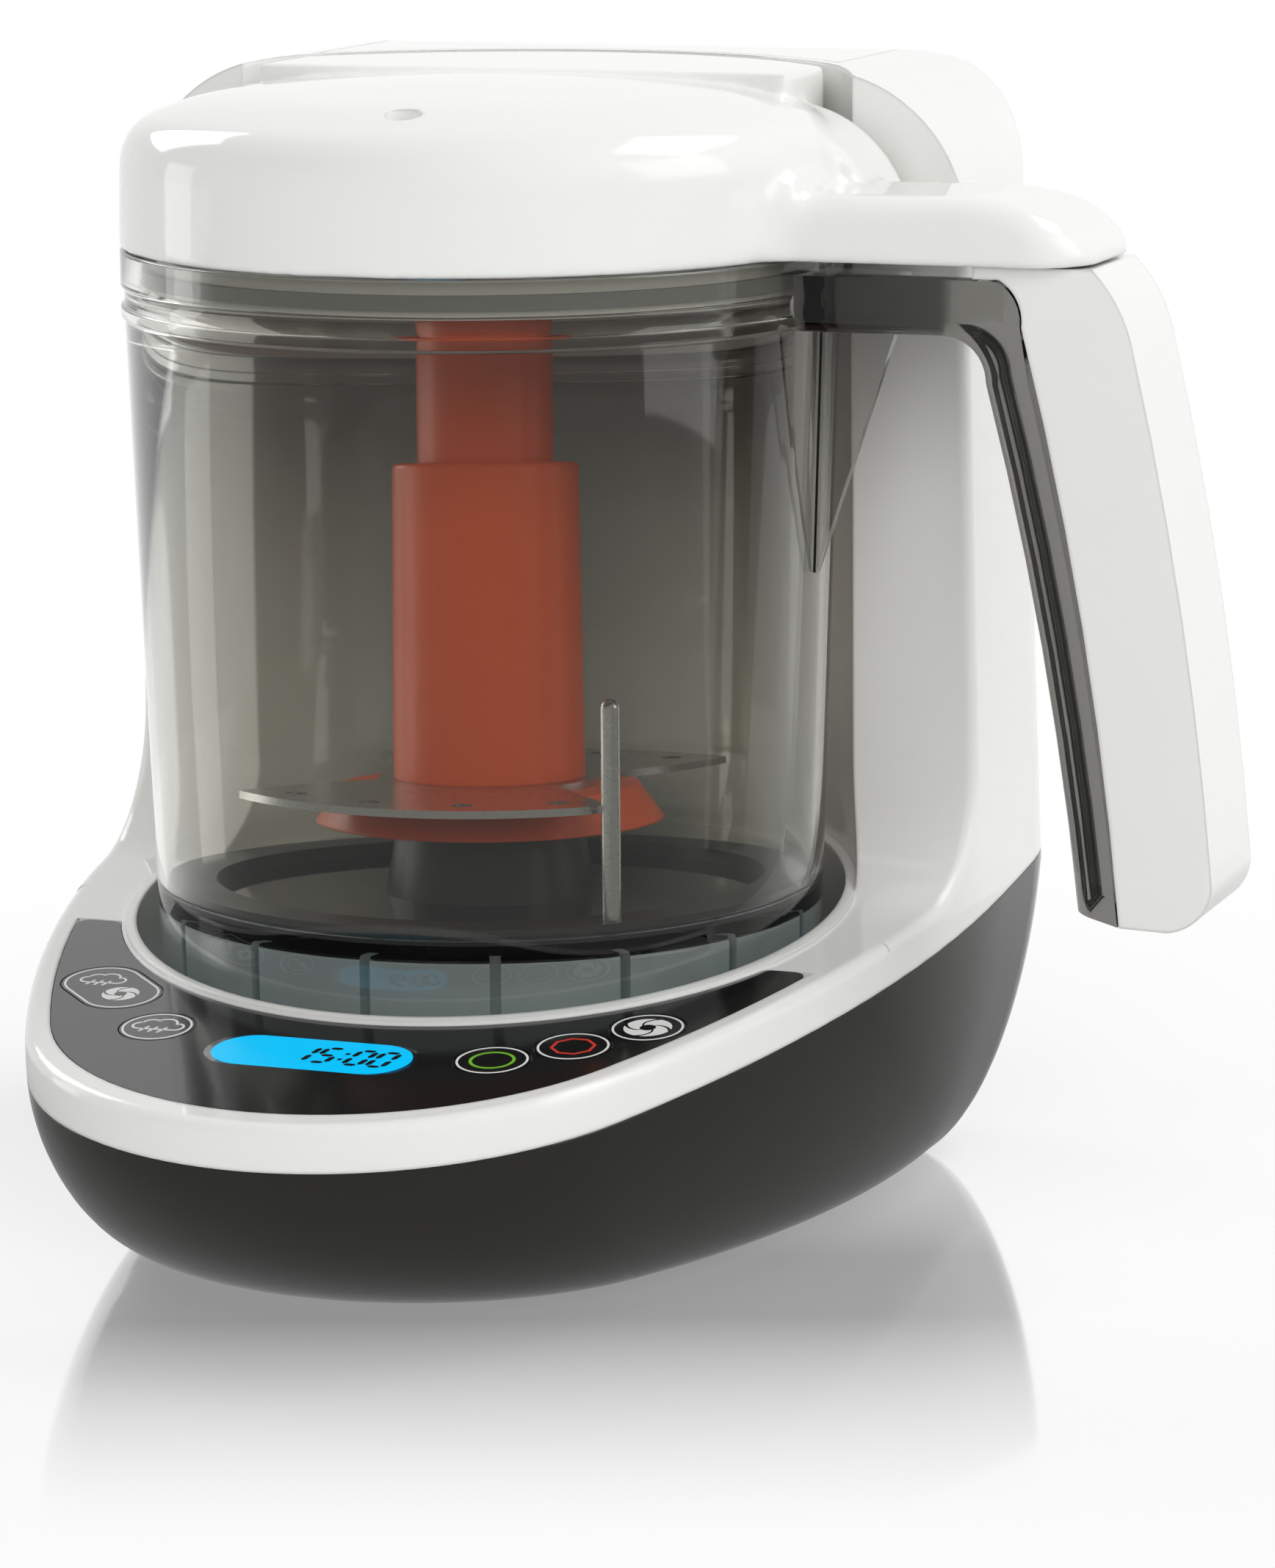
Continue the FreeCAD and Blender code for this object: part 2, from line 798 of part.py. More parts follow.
foot_spots = [(d.foot_side, d.foot_rear), (-d.foot_side, d.foot_rear),
              (d.foot_front_side, -d.foot_front), (-d.foot_front_side, -d.foot_front)]
keep(boolean("MultiFuse", "rubber_feet", *[
    cylinder("foot%d" % number, d.foot_radius, 0, d.foot_height, x, y)
    for number, (x, y) in enumerate(foot_spots)]))


def screws(label, spots, radius, head, low, seat, length):
    # Screws that point up: heads from low to seat, shanks on from there
    solids = []
    for number, (x, y) in enumerate(spots):
        solids.append(boolean("MultiFuse", "%s_%d" % (label, number),
                              cylinder("%s_head%d" % (label, number), head, low, seat, x, y),
                              cylinder("%s_shank%d" % (label, number), radius, seat, seat + length, x, y)))
    return keep(boolean("MultiFuse", label, *solids))


screws("cover_screws", cover_screw_spots, d.cover_screw_radius, d.cover_screw_head,
       hull_bottom - d.screw_head_height, hull_bottom, d.cover_thickness + d.wall)


# Upper housing: white deck, well and tower in one moulding

def panel_plan(grow, end=d.panel_end):
    # The control panel's crescent, in the plane of the deck, grown all round
    half, nose_y, _, nose, flank, _ = plan_sizes(d.side_belt_height, d.panel_border - grow)
    join_x, join_y = nose_join(half, nose_y, nose, flank)
    inner = d.panel_inner - grow
    end_y = grow - end
    run = end_y - d.widest_at
    outer_x = half - flank + root(flank * flank - run * run)
    inner_x = root(inner * inner - end_y * end_y)

    def draw(sketch):
        outline(sketch, [(inner_x, end_y, inner, 1), (outer_x, end_y), (join_x, join_y, flank, -1),
                         (-join_x, join_y, nose, -1), (-outer_x, end_y, flank, -1), (-inner_x, end_y)])
    return draw


# The keys and the screen keep their size where the panel is deep enough for them
panel_depth = d.front_reach - d.panel_border - d.panel_inner
key_scale = clamp(panel_depth / d.key_room)
key_radius = d.key_radius * key_scale
wide_radius, wide_spread = d.wide_key_radius * key_scale, d.wide_key_spread * key_scale
screen_length, screen_width = d.screen_length * key_scale, d.screen_width * key_scale
screen_y = -(d.panel_inner + panel_depth * d.screen_share)


def on_panel(turn, share):
    # A spot some degrees round from the nose, at a share of the way out from the panel's inner edge
    reach = d.panel_inner + panel_depth * share
    return sine(turn) * reach, -(cosine(turn) * reach)


round_keys = {"start_key": on_panel(d.start_turn, d.start_share),
              "stop_key": on_panel(d.stop_turn, d.stop_share),
              "blend_key": on_panel(d.blend_turn, d.blend_share),
              "steam_key": on_panel(d.steam_turn, d.steam_share)}
cycle_x, cycle_y = on_panel(d.cycle_turn, d.cycle_share)
key_spots = dict(round_keys, cycle_key=(cycle_x, cycle_y))
stem_hole = d.key_stem_radius + d.key_gap


def stem_holes(sketch):
    for x, y in key_spots.values():
        disc(sketch, x, y, stem_hole)


def screen_hole(sketch):
    slot(sketch, size(0), screen_y, screen_length - screen_width, screen_width / 2 - d.wall)


def across(name, radius, start, stop, y, z):
    # A cylinder along X
    rod = doc.addObject("Part::Cylinder", name)
    rod.Placement = FreeCAD.Placement(FreeCAD.Vector(), FreeCAD.Rotation(FreeCAD.Vector(0, 1, 0), 90))
    rod.setExpression("Radius", radius.formula)
    rod.setExpression("Height", (size(stop) - start).formula)
    rod.setExpression("Placement.Base.x", size(start).formula)
    rod.setExpression("Placement.Base.y", size(y).formula)
    rod.setExpression("Placement.Base.z", size(z).formula)
    return rod


def aim(item, height):
    # Turn an item so that its Z axis points from the bowl's axis out through the steam port
    flat = FreeCAD.Rotation(FreeCAD.Vector(0, 1, 0), 90)
    swing = FreeCAD.Rotation(FreeCAD.Vector(0, 0, 1), d.port_angle.value)
    item.Placement = FreeCAD.Placement(FreeCAD.Vector(), swing.multiply(flat))
    item.setExpression("Placement.Base.z", height.formula)


def port_hole(name, radius, start, stop):
    hole = doc.addObject("Part::Cylinder", name)
    hole.setExpression("Radius", radius.formula)
    hole.setExpression("Height", (stop - start).formula)
    aim(hole, port_height)
    hole.setExpression("Placement.Base.x", (cosine(d.port_angle) * start).formula)
    hole.setExpression("Placement.Base.y", (sine(d.port_angle) * start).formula)
    return hole


port_outer = d.port_radius + d.port_wall
hinge_y = rear_top - d.hinge_pin_radius
lid_edge = hinge_height + d.hinge_radius + d.seam_gap
notch_low = hinge_height - d.hinge_radius - d.seam_gap
seat_screw_ring = (concave + d.wall + d.well_radius) / 2
seat_screw_spots = [(seat_screw_ring, size(0)), (-seat_screw_ring, size(0)),
                    (size(0), seat_screw_ring), (size(0), -seat_screw_ring)]

upper_form = boolean("MultiCommon", "upper_form", body_form("white_form", 0),
                     deck_slab("above_seam", -d.band_height, far))

# The edges of the deck and the tower are rounded in two halves, which meet where the rim crosses the belt
belt_y = (d.side_belt_height - d.deck_height) * cosine(d.deck_tilt) / sine(d.deck_tilt)
front_half = boolean("MultiCommon", "front_half", upper_form,
                     box("front_box", (-wide, -far, -far), (wide, belt_y, far)))
rear_half = boolean("MultiCommon", "rear_half", upper_form,
                    box("rear_box", (-wide, belt_y, -far), (wide, far, far)))
springing = (d.tower_top - d.shoulder_radius).value


def on_deck_rim(edge, middle):
    return abs(middle.z - deck_at(middle.y).value) < 1e-3 and abs(middle.y - belt_y.value) > 1e-3


def on_tower_edge(edge, middle):
    in_front = middle.y < d.tower_front.value + 1e-3 and middle.z > deck_at(middle.y).value - 1e-3
    outside = abs(middle.x) > concave.value and abs(middle.y - belt_y.value) > 1e-3
    return in_front and outside and middle.z < springing


upper_rounded = boolean("MultiFuse", "upper_rounded",
                        rounded("rim_rounded", front_half, on_deck_rim, d.edge_round),
                        rounded("tower_rounded", rear_half, on_tower_edge, d.edge_round))
upper_room = boolean("Cut", "upper_room", body_form("white_room", d.wall),
                     cylinder("room_core", concave + d.wall, 0, far))
bead = boolean("MultiCommon", "bead",
               boolean("Cut", "bead_ring", cylinder("bead_outer", concave, 0, far),
                       cylinder("bead_inner", d.well_radius, 0, far)),
               deck_slab("bead_slab", -d.wall, d.bead_height))
well_tube = boolean("MultiCommon", "well_tube",
                    boolean("Cut", "tube_ring", cylinder("tube_outer", concave + d.wall, seat_bottom, far),
                            cylinder("tube_inner", d.well_radius, 0, far)),
                    deck_slab("tube_slab", -far, -d.wall / 2))
knuckle = across("knuckle", d.hinge_radius, -d.knuckle_half, d.knuckle_half, hinge_y, hinge_height)
bowl_room = boolean("MultiCommon", "bowl_room", cylinder("bowl_room_core", concave, 0, far * 2),
                    deck_slab("bowl_room_slab", d.bead_height, far * 2))
mouth_half = d.plateau_half_width + d.seam_gap
mouth_box = box("mouth_box", (-mouth_half, d.tower_front, lid_edge - d.seam_gap), (mouth_half, far, far))
tank_mouth = boolean("Cut", "tank_mouth", mouth_box, cylinder("mouth_core", concave + d.wall, 0, far * 2))
notches = [box("notch_" + side, (low, hinge_y - d.wall * 2, notch_low), (high, far, d.tower_top))
           for side, low, high in (("right", d.knuckle_half, d.barrel_end + d.seam_gap),
                                   ("left", -d.barrel_end - d.seam_gap, -d.knuckle_half))]
pin_bore = across("pin_bore", d.hinge_pin_radius + d.running_gap, -d.barrel_end - d.seam_gap,
                  d.barrel_end + d.seam_gap, hinge_y, hinge_height)
tube_screw_holes = [cylinder("tube_screw%d" % number, d.seat_screw_radius + d.running_gap, 0,
                             seat_bottom + d.seat_screw_length, x, y)
                    for number, (x, y) in enumerate(seat_screw_spots)]
upper_cuts = boolean(
    "MultiFuse", "upper_cuts", bowl_room, cylinder("well", d.well_radius, 0, far * 2), tank_mouth,
    deck_tool("panel_recess", panel_plan(d.panel_gap), d.panel_thickness, d.band_height),
    deck_tool("stem_holes", stem_holes, d.wall * 2, d.wall * 3),
    deck_tool("screen_hole", screen_hole, d.wall * 2, d.wall * 3),
    port_hole("nozzle_hole", port_outer + d.running_gap, d.well_radius, d.pipe_at),
    *tube_screw_holes, *notches)
upper_shell = boolean("Cut", "upper_shell", upper_rounded, upper_room)
upper_body = boolean("MultiFuse", "upper_body", upper_shell, bead, well_tube)
upper_cut = boolean("Cut", "upper_cut", upper_body, upper_cuts)
upper_knuckled = boolean("MultiFuse", "upper_knuckled", upper_cut, knuckle)
keep(boolean("Cut", "upper_housing", upper_knuckled, pin_bore))
keep(across("hinge_pin", d.hinge_pin_radius, -d.barrel_end, d.barrel_end, hinge_y, hinge_height))


# Control panel: overlay, window, screen, board, switches and keys, all along the deck

def wide_key_plan(sketch, x, y, grow=size(0)):
    slot(sketch, x, y, wide_spread, wide_radius + grow, d.wide_key_turn)


def overlay_plan(sketch):
    panel_plan(size(0))(sketch)
    slot(sketch, size(0), screen_y, screen_length - screen_width, screen_width / 2)
    for x, y in round_keys.values():
        disc(sketch, x, y, key_radius + d.key_gap)
    wide_key_plan(sketch, cycle_x, cycle_y, d.key_gap)


overlay = keep(body("panel_overlay"))
overlay_pad = pad(overlay, sketch_in(overlay, "XY", "plan", overlay_plan, -d.panel_thickness),
                  d.panel_thickness)
end_line = -d.panel_end.value
fillet(overlay, overlay_pad,
       lambda edge, middle: is_upright(edge) and abs(middle.y - end_line) < 1e-3, d.panel_end_round)
lay_on_deck(overlay)

window = keep(body("display_window"))
pad(window, sketch_in(window, "XY", "plan", lambda s: slot(
    s, size(0), screen_y, screen_length - screen_width, screen_width / 2 - d.running_gap),
    -d.panel_thickness), d.panel_thickness)
lay_on_deck(window)

screen = keep(body("lcd_module"))
half_length, half_depth = screen_length / 2, screen_width / 2


def screen_plan(sketch):
    rectangle(sketch, -half_length, screen_y - half_depth, half_length, screen_y + half_depth)


pad(screen, sketch_in(screen, "XY", "plan", screen_plan, -d.board_depth), d.board_depth - d.wall)
lay_on_deck(screen)

board = keep(body("control_board"))
board_plan = panel_plan(-d.board_margin, d.board_end)
pad(board, sketch_in(board, "XY", "plan", board_plan, -d.board_depth - d.board_thickness),
    d.board_thickness)
lay_on_deck(board)

half_switch = d.switch_side / 2
switch_solids = []
for name, (x, y) in key_spots.items():
    def switch_plan(sketch, x=x, y=y):
        rectangle(sketch, x - half_switch, y - half_switch, x + half_switch, y + half_switch)
    switch_solids.append(deck_tool(name + "_switch", switch_plan, d.board_depth, d.switch_height))
keep(boolean("MultiFuse", "key_switches", *switch_solids))

stem_bottom = d.board_depth - d.switch_height - d.key_travel - d.running_gap
for name, (x, y) in key_spots.items():
    key = keep(body(name))

    def key_plan(sketch, name=name, x=x, y=y):
        if name in round_keys:
            disc(sketch, x, y, key_radius)
        else:
            wide_key_plan(sketch, x, y)

    def stem_plan(sketch, x=x, y=y):
        disc(sketch, x, y, d.key_stem_radius)
    pad(key, sketch_in(key, "XY", "plan", key_plan, -d.key_thickness), d.key_thickness)
    pad(key, sketch_in(key, "XY", "stem", stem_plan, -stem_bottom), stem_bottom - d.key_thickness / 2,
        "stem_pad")
    lay_on_deck(key)


# Bowl seat with its turret, and the screws that hold it under the well

seat = keep(body("bowl_seat"))
flange_low = seat_bottom - d.seat_thickness
turret_room = d.turret_radius - d.seat_thickness
turn(seat, [(d.bush_radius, turret_top - d.seat_thickness), (turret_room, turret_top - d.seat_thickness),
            (turret_room, flange_low), (concave + d.wall, flange_low), (concave + d.wall, seat_bottom),
            (d.well_radius - d.seam_gap, seat_bottom), (d.well_radius - d.seam_gap, d.seat_height),
            (d.turret_radius, d.seat_height), (d.turret_radius, turret_top), (d.bush_radius, turret_top)])


def seat_screw_holes(sketch):
    for x, y in seat_screw_spots:
        disc(sketch, x, y, d.seat_screw_radius + d.running_gap)


pocket(seat, sketch_in(seat, "XY", "screw_holes", seat_screw_holes, d.seat_height), d.seat_thickness * 3)
screws("seat_screws", seat_screw_spots, d.seat_screw_radius, d.seat_screw_radius * 1.25,
       flange_low - d.screw_head_height, flange_low, d.seat_screw_length)


# Motor, bracket, bush, shaft and drive coupling

shaft_bore = d.shaft_radius + d.running_gap
motor_top = turret_top - d.seat_thickness - d.motor_bracket
motor = keep(body("motor"))
bell_low = d.motor_bottom + d.motor_boss
turn(motor, [(shaft_bore, d.motor_bottom), (d.bush_radius, d.motor_bottom), (d.bush_radius, bell_low),
             (d.motor_radius - d.motor_bell, bell_low),
             (d.motor_radius, bell_low + d.motor_bell),
             (d.motor_radius, motor_top), (shaft_bore, motor_top)])
bracket = keep(body("motor_bracket"))
ring(bracket, d.bush_radius + d.seam_gap, d.bracket_radius, motor_top, motor_top + d.motor_bracket)
bush = keep(body("spindle_bush"))
bush_top = turret_top + d.bush_flange
turn(bush, [(shaft_bore, motor_top), (d.bush_radius, motor_top), (d.bush_radius, turret_top),
            (d.bush_radius + d.bush_flange, turret_top), (d.bush_radius + d.bush_flange, bush_top),
            (shaft_bore, bush_top)])

dog_bottom = bush_top + d.seam_gap
dog_top = dog_bottom + d.dog_height
shaft = keep(body("drive_shaft"))
turn(shaft, [(0, d.motor_bottom - d.bush_flange), (d.shaft_radius, d.motor_bottom - d.bush_flange),
             (d.shaft_radius, dog_top), (0, dog_top)])


def dog_plan(grow):
    half = d.dog_inner / 4 + grow

    def draw(sketch):
        rectangle(sketch, d.dog_inner / 2 + d.shaft_radius / 2, -half, d.dog_outer + grow, half)
    return draw


dog_count = 6
coupling = keep(body("drive_coupling"))
ring(coupling, shaft_bore, d.dog_inner, dog_bottom, dog_top)
dog_sketch = sketch_in(coupling, "XY", "dog", dog_plan(size(0)), dog_bottom)
dog = pad(coupling, dog_sketch, d.dog_height, "dog_pad")
around(coupling, dog, dog_count)


# Bowl: clear shell with skirt, ribs, collar, arm and grip core in one moulding

collar_low = lid_plane - d.collar_height
floor_under = d.bowl_floor - d.floor_thickness
lean = (d.bowl_top_radius - d.bowl_foot_radius) / (collar_low - d.seat_height)


def bowl_inside(height):
    return d.bowl_foot_radius - d.bowl_wall + lean * (height - d.seat_height)


lip_top = collar_low + d.collar_lip
groove_low = lip_top + d.collar_groove / 3
groove_top = lip_top + d.collar_groove
rim_low = groove_top + d.collar_groove / 3
mouth = d.bowl_top_radius - d.bowl_wall
spigot_hole = d.housing_spigot + d.running_gap

bowl = keep(body("bowl"))
turn(bowl, [(d.bowl_foot_radius - d.bowl_wall, d.seat_height), (d.bowl_foot_radius, d.seat_height),
            (d.bowl_top_radius, collar_low), (d.collar_radius, collar_low), (d.collar_radius, lip_top),
            (d.bowl_top_radius, groove_low), (d.bowl_top_radius, groove_top), (d.collar_radius, rim_low),
            (d.collar_radius, lid_plane), (mouth, lid_plane), (mouth, collar_low),
            (bowl_inside(d.bowl_floor), d.bowl_floor), (spigot_hole, d.bowl_floor),
            (spigot_hole, floor_under), (bowl_inside(floor_under), floor_under)])
skirt_inside = d.bowl_foot_radius - d.bowl_wall
half_rib = d.rib_thickness / 2


def rib_plan(sketch):
    rectangle(sketch, skirt_inside - d.rib_depth, -half_rib, skirt_inside + half_rib, half_rib)


rib = pad(bowl, sketch_in(bowl, "XY", "rib", rib_plan, d.seat_height),
          floor_under - d.seat_height + half_rib, "rib_pad")
around(bowl, rib, d.rib_count)

seam_top = arm_top - d.core_thickness
seam_shoulder = d.seam_top_x - d.core_thickness / 2
core_top_x = d.seam_top_x - d.core_thickness + 1
arm_corner = arm_bottom - d.arm_bend


def core_side(sketch):
    # The arm and grip core, seen from the front
    root_x = mouth + d.running_gap
    outline(sketch, [(root_x, arm_top), (seam_shoulder, arm_top),
                     (d.seam_top_x, seam_top, d.core_thickness, -1),
                     (d.seam_bottom_x, d.grip_bottom, d.grip_bow, -1),
                     (d.seam_bottom_x - d.core_thickness, d.grip_bottom + d.bowl_wall),
                     (core_top_x, arm_corner, d.grip_bow, 1),
                     (core_top_x - d.arm_bend, arm_bottom, d.arm_bend, 1),
                     (root_x, arm_bottom)])


pad(bowl, sketch_in(bowl, "XZ", "core", core_side), d.handle_half_width * 2, "core_pad", True)
gusset_low = arm_bottom - d.gusset_height


def gusset_side(sketch):
    # The web that braces the arm against the wall
    outline(sketch, [(bowl_inside(gusset_low) + d.bowl_wall / 2, gusset_low),
                     (d.bowl_top_radius + d.gusset_width, arm_bottom + half_rib),
                     (mouth + d.bowl_wall / 2, arm_bottom + half_rib)])


pad(bowl, sketch_in(bowl, "XZ", "gusset", gusset_side), d.bowl_wall, "gusset_pad", True)

cover_outer_top = d.seam_top_x + d.cover_top_depth
cover_outer_bottom = d.seam_bottom_x + d.cover_bottom_depth
tongue_top = lid_plane - d.seam_gap


def cover_side(sketch):
    # The white grip cover, seen from the front
    outline(sketch, [(d.cover_tongue, arm_top), (seam_shoulder, arm_top),
                     (d.seam_top_x, seam_top, d.core_thickness, -1),
                     (d.seam_bottom_x, d.grip_bottom, d.grip_bow, -1),
                     (cover_outer_bottom - d.core_thickness, d.grip_bottom - d.seam_gap),
                     (cover_outer_bottom, d.grip_bottom + d.core_thickness, d.core_thickness * 1.1, 1),
                     (cover_outer_top, arm_bottom, d.grip_bow, 1),
                     (d.tab_reach, tongue_top, d.handle_half_width * 2, 1), (d.cover_tongue, tongue_top)])


grip = keep(body("handle_cover"))
grip_pad = pad(grip, sketch_in(grip, "XZ", "side", cover_side), d.handle_half_width * 2, "side_pad", True)
grip_half = d.handle_half_width.value


def outer_grip_edge(edge, middle):
    on_side = abs(abs(middle.y) - grip_half) < 1e-3
    return on_side and middle.x > d.tab_reach.value and middle.z > d.grip_bottom.value + d.wall.value / 2


fillet(grip, grip_pad, outer_grip_edge, d.grip_round)

floor_ring = keep(body("floor_ring"))
ring_outer = bowl_inside(d.bowl_floor) - d.seam_gap
ring_top = d.bowl_floor + d.ring_height
ring(floor_ring, ring_outer - d.ring_width, ring_outer, d.bowl_floor, ring_top)

probe = keep(body("probe"))
turn(probe, [(0, ring_top), (d.probe_radius, ring_top), (d.probe_radius, d.probe_top - d.probe_radius),
             (0, d.probe_top, d.probe_radius, 1)])
probe.setExpression("Placement.Base.x", d.probe_x.formula)
probe.setExpression("Placement.Base.y", d.probe_y.formula)

bearing = keep(body("bearing_housing"))
turn(bearing, [(shaft_bore, floor_under), (d.housing_spigot, floor_under), (d.housing_spigot, d.bowl_floor),
               (d.housing_radius, d.bowl_floor), (d.housing_radius - d.bowl_wall, d.housing_top),
               (shaft_bore, d.housing_top)])


# Blade: coupling under the bowl, spindle, skirt, steel blade, hub and column

socket = keep(body("bowl_coupling"))
socket_roof = dog_top + d.dog_gap
socket_top = floor_under - d.seam_gap
socket_low = dog_bottom + d.seam_gap
turn(socket, [(d.dog_inner + d.dog_gap, socket_low), (d.coupling_radius, socket_low),
              (d.coupling_radius, socket_top), (shaft_bore, socket_top), (shaft_bore, socket_roof),
              (d.dog_inner + d.dog_gap, socket_roof)])
way = pocket(socket, sketch_in(socket, "XY", "way", dog_plan(d.dog_gap), socket_low),
             socket_roof - socket_low, "way_cut", True)
around(socket, way, dog_count)

spindle = keep(body("blade_spindle"))
turn(spindle, [(0, socket_roof), (d.shaft_radius, socket_roof), (d.shaft_radius, d.spindle_top),
               (0, d.spindle_top)])

core_bore = d.hub_core + d.running_gap
core_low = d.skirt_bottom + d.wall
skirt = keep(body("blade_skirt"))
turn(skirt, [(core_bore, core_low), (d.housing_radius + d.wall, core_low),
             (d.skirt_radius - d.wall, d.skirt_bottom), (d.skirt_radius, d.skirt_bottom),
             (d.skirt_radius - d.wall * 2, d.blade_height), (core_bore, d.blade_height)])

blade_top = d.blade_height + d.blade_thickness
blade = keep(body("blade"))
ring(blade, core_bore, d.blade_root, d.blade_height, blade_top)


def polar(radius, angle):
    # A point in plan; angles are measured from +X
    return radius * cosine(angle), radius * sine(angle)


def wing_plan(sketch):
    inside = d.blade_root - d.wall
    outline(sketch, [polar(inside, d.wing_root_start) + (inside, -1),
                     polar(d.blade_radius, d.wing_start) + (d.blade_radius, 1),
                     polar(d.blade_radius, d.wing_end) + (d.blade_radius, 1),
                     polar(inside, d.wing_root_end)])


def wing_holes(sketch):
    reach = d.blade_radius - d.blade_hole * 2
    for step in range(wing_hole_count):
        x, y = polar(reach, d.hole_start + d.hole_step * step)
        disc(sketch, x, y, d.blade_hole / 2)


wing_count = 2
wing_hole_count = 4
wing = pad(blade, sketch_in(blade, "XY", "wing", wing_plan, d.blade_height), d.blade_thickness, "wing_pad")
around(blade, wing, wing_count, "wings")
holes = pocket(blade, sketch_in(blade, "XY", "holes", wing_holes, blade_top), d.blade_thickness * 2,
               "hole_cut")
around(blade, holes, wing_count, "hole_sets")

hub = keep(body("blade_hub"))
column_bore = d.column_radius + d.running_gap
hub_cap = d.spindle_top + d.running_gap
column_low = d.spindle_top + d.hub_core
edge = d.wall / 2
turn(hub, [(shaft_bore, core_low), (d.hub_core, core_low), (d.hub_core, blade_top),
           (d.hub_radius, blade_top), (d.hub_radius, d.hub_top - edge),
           (d.hub_radius - edge, d.hub_top), (column_bore, d.hub_top),
           (column_bore, column_low), (0, column_low), (0, hub_cap), (shaft_bore, hub_cap)])
column = keep(body("hub_column"))
column_inside = d.column_radius - d.column_wall
column_roof = column_top - d.column_wall
turn(column, [(column_inside, column_low), (d.column_radius, column_low),
              (d.column_radius, column_top - edge), (d.column_radius - edge, column_top),
              (0, column_top), (0, column_roof), (column_inside, column_roof)])


# Lid: domed shell with rear ears, plateau and handle tab, then plug, gasket, vent and steam inlet

def dome(shrink, low):
    # Half profile of the lid, offset inwards by shrink. The top is a cap of a sphere.
    side_top = lid_plane + d.lid_side
    side_reach = d.lid_radius - d.lid_draft - shrink
    corner_reach = d.lid_radius - d.corner_in - shrink * cosine(d.corner_normal)
    corner_top = lid_plane + d.corner_rise - shrink * sine(d.corner_normal)
    crown_reach = d.lid_radius - d.crown_in - shrink * cosine(d.crown_normal)
    crown_top = lid_plane + d.crown_rise - shrink * sine(d.crown_normal)
    top = lid_plane + d.lid_height - shrink
    cap = (crown_reach * crown_reach / (top - crown_top) + top - crown_top) / 2
    return [(0, low), (d.lid_radius - shrink, low), (side_reach, side_top),
            (corner_reach, corner_top, d.corner_arc - shrink, 1),
            (crown_reach, crown_top, d.crown_arc - shrink, 1), (0, top, cap, 1)]


lid = body("lid_form")
turn(lid, dome(size(0), lid_plane), "dome")
ear_middle = d.ear_half_width - d.ear_radius
ear_top = lid_plane + d.ear_radius
ear_sketch = sketch_in(lid, "XZ", "ears", lambda s: outline(s, [
    (-d.ear_half_width, lid_plane, d.ear_radius, 1), (d.ear_half_width, lid_plane),
    (ear_middle, ear_top, d.ear_radius, 1), (-ear_middle, ear_top)]), -d.ear_front)
ears = pad(lid, ear_sketch, d.tower_front - d.ear_slot - d.ear_front, "ear_pad")
ears.Reversed = True
plateau_reach = d.lid_radius - d.lid_draft
plateau_back = root(plateau_reach * plateau_reach - d.plateau_half_width * d.plateau_half_width)
pad(lid, sketch_in(lid, "XY", "plateau", lambda s: outline(s, [
    (-d.plateau_half_width, d.plateau_front), (d.plateau_half_width, d.plateau_front),
    (d.plateau_half_width, plateau_back), (-d.plateau_half_width, plateau_back, plateau_reach, 1)]),
    lid_plane + d.lid_side), d.tower_top - lid_plane - d.lid_side, "plateau_pad")


def tab_plan(inset, reach):
    half, corner = d.tab_half_width - inset, d.tab_corner - inset

    def draw(sketch):
        start = d.lid_radius - d.lid_wall
        outline(sketch, [(start, -half), (reach - corner, -half), (reach, corner - half, corner, 1),
                         (reach, half - corner), (reach - corner, half, corner, 1), (start, half)])
    return draw


tab_top = lid_plane + d.tab_height
tab_sketch = sketch_in(lid, "XY", "tab", tab_plan(size(0), d.tab_reach), lid_plane)
tab = pad(lid, tab_sketch, d.tab_height, "tab_pad")
tab_z = tab_top.value

def tab_top_edge(edge, middle):
    return abs(middle.z - tab_z) < 1e-3 and middle.x > d.lid_radius.value + d.wall.value


fillet(lid, tab, tab_top_edge, d.tab_round)
nose_root = d.tab_reach - d.nose_run
nose_drop = d.tab_height - d.nose_tip
nose_arc = (d.nose_run * d.nose_run / nose_drop + nose_drop) / 2


def nose_side(sketch):
    # All above the tab's nose, which falls in an arc to a thin tip
    tip, past, over = lid_plane + d.nose_tip, d.tab_reach + d.wall, tab_top + d.wall
    outline(sketch, [(nose_root, tab_top), (d.tab_reach, tip, nose_arc, -1), (past, tip), (past, over),
                     (nose_root, over)])


nose = pocket(lid, sketch_in(lid, "XZ", "nose", nose_side), (d.tab_half_width + d.wall) * 2, "nose_cut")
nose.Midplane = True
turn(lid, dome(d.lid_wall, lid_plane - d.wall), "hollow", True)
room_sketch = sketch_in(lid, "XY", "tab_room", tab_plan(d.tab_wall, nose_root), lid_plane)
pocket(lid, room_sketch, d.tab_height - d.tab_wall, "tab_room_cut", True)
# The vent's bush ends below the dome on its outer side
vent_reach = root(d.vent_x * d.vent_x + d.vent_y * d.vent_y) + d.vent_radius
vent_share = (d.lid_radius - d.corner_in - vent_reach) / (d.crown_in - d.corner_in)
vent_top = lid_plane + d.corner_rise + (d.crown_rise - d.corner_rise) * vent_share
vent_low = vent_top - d.vent_depth
vent_hole = cylinder("vent_hole", d.vent_radius + d.running_gap, vent_low, far, d.vent_x, d.vent_y)
keep(boolean("Cut", "lid_shell", lid, boolean(
    "MultiFuse", "lid_holes", vent_hole,
    port_hole("inlet_bore", port_outer + d.running_gap, concave / 2, concave))))

vent = keep(body("vent_bush"))
ring(vent, d.vent_bore, d.vent_radius, vent_low, vent_top)
vent.setExpression("Placement.Base.x", d.vent_x.formula)
vent.setExpression("Placement.Base.y", d.vent_y.formula)

